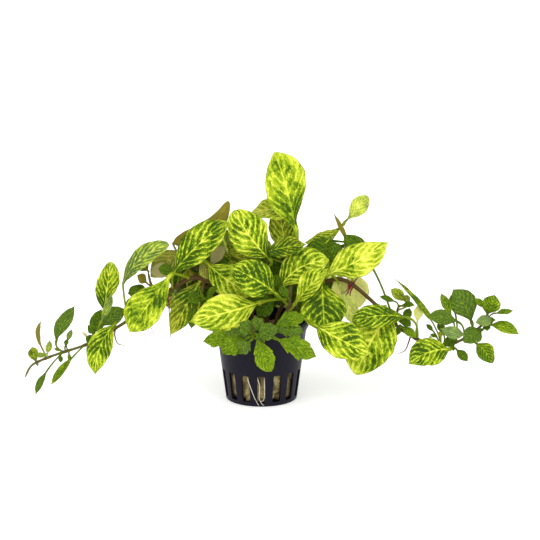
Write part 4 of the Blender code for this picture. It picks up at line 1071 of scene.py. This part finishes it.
def leaf_upper(look):
    """Upper face of the blades, coloured by one number that rises towards the veins, from deep green to
    yellow, and the stalks."""
    n = Nodes("leaf_upper")
    place = n.place()
    gold, dark, rust, wash = n.tone()
    far, t, near_vein, vein_place = blade_places(n, look, 0.7)
    on_blade = n.most(t, 0.0)
    mottle = n.noise(place, 900.0, 4.0, 0.7)
    streak = n.noise(vein_place, 1.3, 3.0, 0.6)
    fine = n.noise(n.stretch(vein_place, (4.2, 1.7, 1.0)), 1.0, 2.0, 0.5)
    patch = n.noise(place, 90.0, 1.0)
    strong = n.ramp(gold, 0.05, 0.26)

    def by_yellow(green, yellow):
        """Goes from the first number on a green leaf to the second on a yellow-veined one."""
        return n.ramp(strong, 0.0, 1.0, green, yellow)

    # The yellow is uneven: it gathers in patches and towards the margin and tip, and thins towards the base.
    uneven = n.times(n.swing(patch, 1.8), strong)
    island = n.times(n.swing(n.noise(place, 250.0, 2.0), 1.2), strong)
    base = n.times(n.ramp(on_blade, 0.65, 0.0, 0.0, 0.20), strong)
    uneven = n.less(n.add(uneven, island), base)
    outer = n.most(n.math("POWER", far, 2.2), n.math("POWER", on_blade, 4.0))
    outer = n.times(outer, n.ramp(gold, 0.05, 0.26, 0.05, 0.30))
    shift = n.add(by_yellow(0.42, -0.03), n.times(gold, 1.04))
    shift = n.less(shift, n.times(dark, by_yellow(0.30, 0.14)))
    ragged = n.add(n.swing(mottle, 1.7), n.swing(streak, 1.0), n.swing(fine, 1.2))
    ragged = n.times(ragged, by_yellow(0.55, 0.78))
    # The marks: fine side-vein lines, the midrib, the rim, yellow dots that are partly painted glints, and the
    # netting.
    wavering = n.add(n.swing(mottle, 0.6), n.swing(fine, 0.8))
    line = n.ramp(n.add(near_vein, wavering), 0.74, 1.02, 0.0, 0.46)
    rib_width = n.scaled(n.math("POWER", n.less(1.0, on_blade), 4.0), 0.22, 0.045)
    rib = n.ramp(far, rib_width, n.times(rib_width, 0.35), 0.0, 0.75)
    rim = n.ramp(n.scaled(mottle, 0.14, far), 0.93, 1.04, 0.0, 0.15)
    # Yellow dots: the leaf's own fine dots, and painted glints that stand in for the sparkle of its wet
    # surface.
    dot_and_glint_cells = {"Vector": n.stretch(vein_place, (6.5, 2.6, 1.0)), "Scale": 1.0}
    dot_and_glint_cells = n.node("ShaderNodeTexVoronoi", dot_and_glint_cells).outputs
    chance = n.node("ShaderNodeSeparateColor", {0: dot_and_glint_cells["Color"]}).outputs[0]
    crowd = n.scaled(n.math("POWER", near_vein, 2.0), 0.50, -0.36)
    grain = n.ramp(n.add(chance, crowd), 0.40, 0.60, 0.0, 0.62)
    grain = n.times(n.ramp(dot_and_glint_cells["Distance"], 0.60, 0.25), grain)
    cells = {"Vector": n.stretch(vein_place, (2.0, 1.6, 1.0)), "Scale": 1.0}
    cells = n.node("ShaderNodeTexVoronoi", cells, feature="DISTANCE_TO_EDGE").outputs[0]
    net = n.ramp(cells, 0.16, 0.02, 0.0, 0.12)
    depth = n.ramp(dark, 0.0, 0.5, 0.60, 1.0)
    marks = n.times(n.add(n.most(line, rib, rim), n.most(grain, net)), by_yellow(0.26, 1.0), depth)
    level = n.times(near_vein, by_yellow(0.16, 0.48), depth)
    level = n.add(level, shift, uneven, outer, ragged, marks)
    # The level climbs from deep green to the brightest yellow, whose top is partly painted glints.
    colour = look.deep
    for low, high, share, next_colour in (
        (0.20, 0.58, 1.0, look.green), (0.52, 0.92, 1.0, look.lime),
        (0.95, 1.40, 1.0, look.gold), (1.40, 1.95, 0.80, look.speck_and_glint),
    ):
        colour = n.mix(n.ramp(level, low, high, 0.0, share), colour, next_colour)
    brown = n.times(rust, n.ramp(n.add(patch, n.times(rust, 0.4)), 0.40, 0.75))
    colour = n.mix(brown, colour, look.rust)
    # A wash above 0 turns the leaf towards cream, lightened as painted light that shines through it, or blush
    # where brown.
    colour = n.mix(n.most(wash, 0.0), colour, n.mix(rust, look.cream, look.blush))
    # A wash below 0 turns the leaf towards grey-green with a painted sheen.
    colour = n.mix(n.most(n.times(wash, -1.0), 0.0), colour, look.grey_and_sheen)
    stalk = n.mix(n.ramp(gold, 0.05, 0.4, 0.0, 0.7), look.green, look.lime)
    stalk = n.mix(n.most(rust, 0.10), stalk, look.rust)
    colour = n.mix(n.ramp(t, 0.04, -0.06), colour, stalk)
    edge = n.times(n.ramp(far, 0.935, 0.99, 0.0, 0.60), n.ramp(t, 0.0, 0.1))
    colour = n.mix(edge, colour, look.deep)
    rough = n.scaled(mottle, 0.22, look.roughness - 0.11)
    height = n.add(n.ramp(cells, 0.0, 0.35), mottle)
    return n.close(
        colour, rough, height, 0.5, 0.00016, Subsurface_Weight=0.10, Subsurface_Scale=0.0007,
        Specular_IOR_Level=0.05,
    )


def leaf_lower(look):
    """Duller underside, with paler veins that stand out."""
    n = Nodes("leaf_lower")
    place = n.place()
    gold, dark, rust, wash = n.tone()
    far, t, near_vein, _ = blade_places(n, look, 0.3)
    mottle = n.noise(place, 800.0, 4.0, 0.6)
    patch = n.noise(place, 120.0, 2.0)
    banding = n.ramp(n.add(near_vein, n.swing(mottle, 0.5)), n.scaled(gold, -0.5, 1.0), 1.15)
    rib = n.ramp(far, 0.13, 0.04)
    between = n.mix(n.ramp(n.add(dark, patch), 0.3, 1.4), look.lime, look.green)
    colour = n.mix(n.most(banding, rib), between, look.gold)
    brown = n.ramp(n.add(patch, rust), 0.45, 1.1, 0.12, 0.75)
    colour = n.mix(n.times(brown, n.ramp(rib, 0.0, 1.0, 1.0, 0.5)), colour, look.rust)
    # The cream here too is lightened as painted light that shines through the leaf.
    colour = n.mix(n.most(wash, 0.0), colour, look.cream)
    # A little grey-green with its painted sheen over the whole underside.
    colour = n.mix(0.12, colour, look.grey_and_sheen)
    return n.close(
        colour, 0.58, mottle, 0.35, 0.00012, Subsurface_Weight=0.12, Subsurface_Scale=0.0009,
        Specular_IOR_Level=0.07,
    )


def stem_finish(settings):
    """Brown woody stem that turns olive green towards its end and darker at the joints."""
    n = Nodes("stem")
    place = n.place()
    age, joint, _, _ = n.tone()
    streak = n.noise(place, 700.0, 4.0, 0.6)
    patch = n.noise(place, 160.0, 2.0)
    colour = n.mix(n.ramp(n.add(age, n.swing(patch, 0.9)), 0.15, 1.0), settings.old, settings.new)
    colour = n.mix(n.ramp(streak, 0.45, 0.75, 0.0, 0.5), colour, BARK_STREAK)
    colour = n.mix(n.times(joint, 0.5), colour, BARK_JOINT)
    return n.close(colour, n.ramp(streak, 0.3, 0.7, 0.42, 0.62), streak, 0.5, 0.0002, Specular_IOR_Level=0.10)


def root_finish(settings):
    """Thin root: pink where it is young, and cream where it has grown old."""
    n = Nodes("root")
    old, _, _, _ = n.tone()
    spots = n.noise(n.place(), 500.0, 3.0)
    colour = n.mix(n.ramp(n.add(old, n.swing(spots, 0.6)), 0.2, 0.9), settings.pink, settings.white)
    return n.close(colour, 0.45, spots, 0.3, 0.0001, Specular_IOR_Level=0.15)


def plastic_finish(pot):
    """Moulded near-black plastic, a little dusty, with faint upright flow marks."""
    n = Nodes("black_plastic")
    place = n.place()
    flow = n.noise(n.stretch(place, (420.0, 420.0, 25.0)), 1.0, 3.0)
    dust = n.noise(place, 240.0, 5.0, 0.7)
    grain = n.noise(place, 3200.0, 2.0)
    colour = n.mix(n.ramp(dust, 0.52, 0.75, 0.0, 0.35), pot.plastic, PLASTIC_DUST)
    colour = n.mix(n.ramp(flow, 0.5, 0.8, 0.0, 0.25), colour, PLASTIC_FLOW)
    rough = n.add(n.times(dust, 0.20), n.scaled(flow, 0.12, pot.roughness - 0.16))
    return n.close(colour, rough, n.add(n.times(grain, 0.5), flow), 0.18, 0.00015, Specular_IOR_Level=0.10)


def wool_finish(wool):
    """Fibrous khaki wool with wet dark patches and paler clumps."""
    n = Nodes("stone_wool")
    place = n.place()
    fibre = n.noise(n.stretch(place, (700.0, 700.0, 2600.0)), 1.0, 5.0, 0.7)
    clump = n.noise(place, 260.0, 4.0, 0.6)
    wet = n.noise(place, 95.0, 3.0)
    colour = n.mix(n.ramp(clump, 0.35, 0.70), wool.khaki, WOOL_PALE)
    colour = n.mix(n.ramp(fibre, 0.38, 0.60, 0.75, 0.0), colour, WOOL_SHADE)
    colour = n.mix(n.ramp(wet, 0.46, 0.62, 0.0, 0.85), colour, wool.damp)
    return n.close(colour, 0.95, n.add(fibre, clump), 0.8, 0.0004)


def turned(name, profile, steps):
    """A closed turned mesh: the profile runs from the axis up the inside and down the outside to the axis."""
    work = bmesh.new()
    turns = [math.tau * i / steps for i in range(steps)]
    rings = []
    for radius, height in profile:
        around = turns if radius > 0.0 else [0.0]
        places = [(radius * math.cos(a) * MM, radius * math.sin(a) * MM, height * MM) for a in around]
        rings.append([work.verts.new(place) for place in places])
    for low, high in zip(rings, rings[1:]):
        for i in range(steps):
            j = (i + 1) % steps
            corners = [low[i % len(low)], high[i % len(high)], high[j % len(high)], low[j % len(low)]]
            work.faces.new(list(dict.fromkeys(corners)))
    bmesh.ops.recalc_face_normals(work, faces=work.faces)
    mesh = bpy.data.meshes.new(name)
    work.to_mesh(mesh)
    work.free()
    return mesh


def inner_radius(height):
    """The inside of the pot's wall at this height."""
    return BASE_RADIUS - WALL + (height - FLOOR) * WALL_SPREAD / WALL_TOP


def slot_cutter(corner):
    """One mesh with a rounded block for each slot and a rod for each drain hole."""
    work = bmesh.new()
    slot_middle = Matrix.Translation(Vector((BASE_RADIUS + 1.0, 0.0, (SLOT_LOW + SLOT_HIGH) / 2)) * MM)
    slot_size = Matrix.Diagonal((CUT_DEPTH * MM, SLOT_WIDTH * MM, (SLOT_HIGH - SLOT_LOW) * MM, 1.0))
    drain_middle = Matrix.Translation(Vector((DRAIN_RING, 0.0, FLOOR / 2)) * MM)
    for i in range(SLOT_COUNT):
        turn = Matrix.Rotation(math.tau * i / SLOT_COUNT - math.pi / 2, 4, "Z")
        block = bmesh.ops.create_cube(work, size=1.0)["verts"]
        edges = {edge for point in block for edge in point.link_edges}
        radial = [edge for edge in edges if abs(edge.verts[0].co.x - edge.verts[1].co.x) > 0.5]
        bmesh.ops.transform(work, matrix=turn @ slot_middle @ slot_size, verts=block)
        bmesh.ops.bevel(work, geom=radial, offset=corner, segments=4, profile=0.5, affect="EDGES")
    for i in range(DRAIN_COUNT):
        turn = Matrix.Rotation(math.tau * i / DRAIN_COUNT, 4, "Z")
        bmesh.ops.create_cone(
            work, cap_ends=True, segments=24, radius1=DRAIN_RADIUS * MM, radius2=DRAIN_RADIUS * MM,
            depth=DRAIN_DEPTH * MM, matrix=turn @ drain_middle,
        )
    mesh = bpy.data.meshes.new("slot_cutter")
    work.to_mesh(mesh)
    work.free()
    return mesh


def pot_profile():
    """Half the pot's section: a flat foot with a rounded edge, a tapered wall and a flared, rounded lip."""
    low, high = FLOOR + 1.2, WALL_TOP
    lip = RIM_RADIUS - WALL / 2
    round_lip = [
        (lip - WALL / 2 * math.cos(a), POT_HEIGHT - WALL / 2 + WALL / 2 * math.sin(a))
        for a in [math.radians(x) for x in range(0, 181, 20)]
    ]
    inside = [
        (0.0, FLOOR),
        (inner_radius(FLOOR) - 1.6, FLOOR),
        (inner_radius(FLOOR) - 0.5, FLOOR + 0.25),
        (inner_radius(low), low),
        (inner_radius(high - 1), high - 1),
        (inner_radius(high) + 0.15, high),
    ]
    outside = [
        (RIM_RADIUS, POT_HEIGHT - 1.6),
        (RIM_RADIUS - 0.25, POT_HEIGHT - 2.2),
        (inner_radius(high) + WALL + 0.15, high),
        (inner_radius(high - 1) + WALL, high - 1),
        (inner_radius(low) + WALL, low),
        (inner_radius(FOOT_ROUND) + WALL, FOOT_ROUND),
    ]
    edge = inner_radius(FOOT_ROUND) + WALL - FOOT_ROUND
    base = [
        (edge + FOOT_ROUND * math.cos(a), FOOT_ROUND - FOOT_ROUND * math.sin(a))
        for a in [math.radians(x) for x in (18, 36, 54, 72, 90)]
    ]
    return inside + round_lip + outside + base + [(0.0, 0.0)]


def wool_radius(height, turn):
    """The side of the wool at this height and turn: lumpy, and drawn in at its foot."""
    lump = 0.5 + 0.25 * math.sin(5 * turn + 0.3 * height) + 0.25 * math.sin(9 * turn - 0.41 * height)
    corner = 1.2 * max(0.0, 1 - (height - PLUG_FOOT) / 2.0)
    return inner_radius(height) - PLUG_GAP - PLUG_LUMP * lump - corner


def wool_point(out, turn, height, rough):
    """A point of the wool's surface with its dents and its fibrous relief. out is the share of the radius."""
    radius = wool_radius(height, turn) * out
    flat = Vector((radius * math.cos(turn), radius * math.sin(turn), height))
    fine = noise.fractal(Vector((flat.x * 0.7, flat.y * 0.7, flat.z * 2.4)), 0.6, 2.1, 5)
    dent = min(DEEPEST_DENT, max(0.0, noise.noise(flat * 0.21) - 0.06) * 7.5)
    push = rough * 1.3 * fine - dent * (height < PLUG_TOP - 1)
    lift = rough * 3 * fine if out < 0.999 else 0.0
    reach = radius + push * out
    return Vector((reach * math.cos(turn), reach * math.sin(turn), height + lift))


def add_wool(shape, rough):
    """The block: side rows from the foot up, then rings in to the middle of the top, and a flat foot."""
    levels = [(1.0, PLUG_FOOT + (PLUG_TOP - PLUG_FOOT) * i / PLUG_ROWS) for i in range(PLUG_ROWS + 1)]
    levels += [(1 - i / PLUG_RINGS, PLUG_TOP) for i in range(1, PLUG_RINGS)]
    turns = [math.tau * j / PLUG_COLUMNS for j in range(PLUG_COLUMNS)]
    rings = [[shape.corner(wool_point(out, turn, height, rough)) for turn in turns] for out, height in levels]
    for low, high in zip(rings, rings[1:]):
        shape.band(low, high)
    top = shape.corner((0.0, 0.0, PLUG_TOP))
    bottom = shape.corner((0.0, 0.0, PLUG_FOOT))
    for j in range(PLUG_COLUMNS):
        k = (j + 1) % PLUG_COLUMNS
        shape.face((rings[-1][j], rings[-1][k], top))
        shape.face((rings[0][k], rings[0][j], bottom))


def add_fibres(shape, count, rough):
    """Short loose fibres that curl out of the side and the top of the wool, inside the pot."""
    draw = random.Random(11)
    for i in range(count):
        turn = draw.uniform(0, math.tau)
        on_top = i % 3 == 0
        height = PLUG_TOP if on_top else draw.uniform(*FIBRE_HEIGHTS)
        out = math.sqrt(draw.uniform(0.02, 0.95)) if on_top else 1.0
        start = wool_point(out, turn, height, rough)
        normal = Vector((0, 0, 1)) if on_top else Vector((math.cos(turn), math.sin(turn), 0))
        lean = Vector((draw.uniform(-1, 1), draw.uniform(-1, 1), draw.uniform(-1, 1)))
        lean = square_to(lean, normal)
        length = draw.uniform(*FIBRE_LENGTHS)
        arch = 0.88 if on_top else 0.64
        line = [
            start - normal * FIBRE_START + lean * length * s + normal * arch * math.sin(math.pi * s)
            for s in (0.0, 0.25, 0.5, 0.75, 1.0)
        ]
        add_tube(shape, line, lambda t, turn: FIBRE_RADIUS, FIBRE_SIDES, lambda t: (0.0, 0.0, 0.0, 0.0))


class LUDWIGIA_OT_pot(bpy.types.Operator):
    """Make the net pot with its slots, drain holes and rounded lip"""

    bl_idname = "ludwigia.pot"
    bl_label = "Net pot"

    def execute(self, context):
        settings = context.scene.ludwigia_pot
        mesh = turned("net_pot", pot_profile(), settings.steps)
        obj = bpy.data.objects.new("net_pot", mesh)
        context.scene.collection.objects.link(obj)
        cutter = bpy.data.objects.new("slot_cutter", slot_cutter(settings.slot_corner))
        context.scene.collection.objects.link(cutter)
        cut = obj.modifiers.new("slots", "BOOLEAN")
        cut.object = cutter
        cut.solver = "EXACT"
        context.view_layer.update()
        cut_mesh = bpy.data.meshes.new_from_object(obj.evaluated_get(context.evaluated_depsgraph_get()))
        obj.modifiers.clear()
        obj.data = cut_mesh
        bpy.data.objects.remove(cutter)
        if len(cut_mesh.polygons) in (0, len(mesh.polygons)):
            raise RuntimeError("the slots weren't cut")
        cut_mesh.materials.clear()
        cut_mesh.materials.append(plastic_finish(settings))
        cut_mesh.shade_smooth()
        cut_mesh.set_sharp_from_angle(angle=POT_SHARP)
        settled(obj, "pot")
        return {"FINISHED"}


class LUDWIGIA_OT_wool(bpy.types.Operator):
    """Make the stone wool, its loose fibres and the white roots on the pot"""

    bl_idname = "ludwigia.wool"
    bl_label = "Stone wool"

    def execute(self, context):
        settings = context.scene.ludwigia_wool
        rough = settings.rough / MM
        finish = wool_finish(settings)
        block = Shape()
        add_wool(block, rough)
        block.piece("wool_block", [finish], "stone_wool", "stone_wool")
        fibres = Shape()
        add_fibres(fibres, settings.fibres, rough)
        fibres.piece("wool_fibres", [finish], "stone_wool", "stone_wool")
        roots = Shape()
        for spots in POT_ROOTS:
            line = smooth_line([Vector(spot) for spot in spots], POT_ROOT_STEP)
            add_root(roots, line, POT_ROOT_RADIUS, POT_ROOT_TAPER, lambda t: (1.0, 0.0, 0.0, 0.0))
        roots.piece("pot_roots", [root_finish(context.scene.ludwigia_stems)], "stone_wool", "stone_wool")
        return {"FINISHED"}


class LUDWIGIA_OT_stems(bpy.types.Operator):
    """Make every leafy stem: its leaves, its stalk and its aerial roots"""

    bl_idname = "ludwigia.stems"
    bl_label = "Leafy stems"

    def execute(self, context):
        look, wood = context.scene.ludwigia_leaves, context.scene.ludwigia_stems
        blades = [leaf_upper(look), leaf_lower(look)]
        bark, root = stem_finish(wood), root_finish(wood)
        for node, stem in STEMS.items():
            leaves, stalks, roots = Shape(), Shape(), Shape()
            for shoot in [stem, *stem.get("shoots", [])]:
                line = stem_line(shoot)
                joints = [nearest(line, leaf.foot or leaf.base) for leaf in shoot["leaves"]]
                for leaf, joint in zip(shoot["leaves"], joints):
                    add_leaf(leaves, leaf, line[joint], look)
                add_stem(stalks, line, shoot, joints, wood.swelling)
            for kind, radius in ROOT_RADII.items():
                for spots in stem.get(kind, []):
                    line = smooth_line([seat(*spot) for spot in spots], ROOT_STEP)
                    add_root(roots, line, radius, ROOT_TAPER, lambda t: (t * 0.5, 0.0, 0.0, 0.0))
            leaves.piece(node + "_leaves", blades, "leaf", node)
            stalks.piece(node + "_stalk", [bark], "leaf", node)
            if roots.corners:
                roots.piece(node + "_roots", [root], "leaf", node)
        return {"FINISHED"}


class LUDWIGIA_OT_stage(bpy.types.Operator):
    """Make the pale floor, the soft lights and the camera"""

    bl_idname = "ludwigia.stage"
    bl_label = "Stage"

    def execute(self, context):
        scene, settings = context.scene, context.scene.ludwigia_stage
        bpy.ops.mesh.primitive_plane_add(size=FLOOR_SIZE, location=(0.0, 0.0, -FLOOR_DROP))
        floor = context.object
        floor.name = "floor"
        n = Nodes("pale_floor")
        spots = n.noise(n.place(), 6.0, 2.0)
        colour = n.mix(n.ramp(spots, 0.3, 0.7), settings.floor, FLOOR_SHADE)
        finish = n.close(colour, 0.6, Emission_Color=WHITE, Emission_Strength=settings.glow)
        floor.data.materials.append(finish)
        world = scene.world or bpy.data.worlds.new("World")
        scene.world = world
        world.use_nodes = True
        back = world.node_tree.nodes["Background"]
        back.inputs["Color"].default_value = (*WHITE, 1.0)
        back.inputs["Strength"].default_value = settings.sky
        # A lamp with a size is a soft square one, and the others are suns.
        for name, place, size, power in (
            ("key_light", (-0.45, -0.95, 0.80), None, settings.key * 0.55),
            ("second_light", (0.55, -0.90, 0.75), None, settings.key * 0.45),
            ("fill_light", (0.9, -0.25, 0.35), 0.5, settings.fill),
            ("back_light", (-0.5, 0.9, 0.6), 0.6, settings.fill),
        ):
            lamp = bpy.data.lights.new(name, "AREA" if size else "SUN")
            if size:
                lamp.size = size
            else:
                lamp.angle = settings.spread
            lamp.energy = power
            obj = bpy.data.objects.new(name, lamp)
            obj.location = place
            obj.rotation_euler = (LIT_SPOT - Vector(place)).to_track_quat("-Z", "Y").to_euler()
            scene.collection.objects.link(obj)
        eye = bpy.data.cameras.new("camera")
        eye.lens, eye.sensor_width = LENS, SENSOR
        eye.clip_start, eye.clip_end = 0.01, 20.0
        eye.shift_y = CAMERA_SHIFT
        camera = bpy.data.objects.new("camera", eye)
        camera.location = EYE * MM
        camera.rotation_euler = (TARGET - EYE).to_track_quat("-Z", "Y").to_euler()
        scene.collection.objects.link(camera)
        scene.camera = camera
        scene.view_settings.view_transform = "Standard"
        return {"FINISHED"}


class LUDWIGIA_PT_panel(bpy.types.Panel):
    """Lists the operators and what can be changed"""

    bl_label = "Potted plant"
    bl_space_type = "VIEW_3D"
    bl_region_type = "UI"
    bl_category = "Plant"

    def draw(self, context):
        groups = (
            (LUDWIGIA_OT_pot, "ludwigia_pot"),
            (LUDWIGIA_OT_wool, "ludwigia_wool"),
            (LUDWIGIA_OT_stems, "ludwigia_leaves"),
            (None, "ludwigia_stems"),
            (LUDWIGIA_OT_stage, "ludwigia_stage"),
        )
        for operator, name in groups:
            box = self.layout.box()
            if operator:
                box.operator(operator.bl_idname)
            settings = getattr(context.scene, name)
            for key in settings.__annotations__:
                box.prop(settings, key)


SETTINGS = {
    "ludwigia_leaves": LeafSettings,
    "ludwigia_stems": StemSettings,
    "ludwigia_pot": PotSettings,
    "ludwigia_wool": WoolSettings,
    "ludwigia_stage": StageSettings,
}
OPERATORS = (LUDWIGIA_OT_pot, LUDWIGIA_OT_wool, LUDWIGIA_OT_stems, LUDWIGIA_OT_stage)


def register():
    for name, group in SETTINGS.items():
        bpy.utils.register_class(group)
        setattr(bpy.types.Scene, name, PointerProperty(type=group))
    for made in (*OPERATORS, LUDWIGIA_PT_panel):
        bpy.utils.register_class(made)


def unregister():
    for made in (LUDWIGIA_PT_panel, *reversed(OPERATORS)):
        bpy.utils.unregister_class(made)
    for name, group in SETTINGS.items():
        delattr(bpy.types.Scene, name)
        bpy.utils.unregister_class(group)


def main():
    register()
    bpy.ops.ludwigia.pot()
    bpy.ops.ludwigia.wool()
    bpy.ops.ludwigia.stems()
    bpy.ops.ludwigia.stage()


if __name__ == "__main__":
    main()
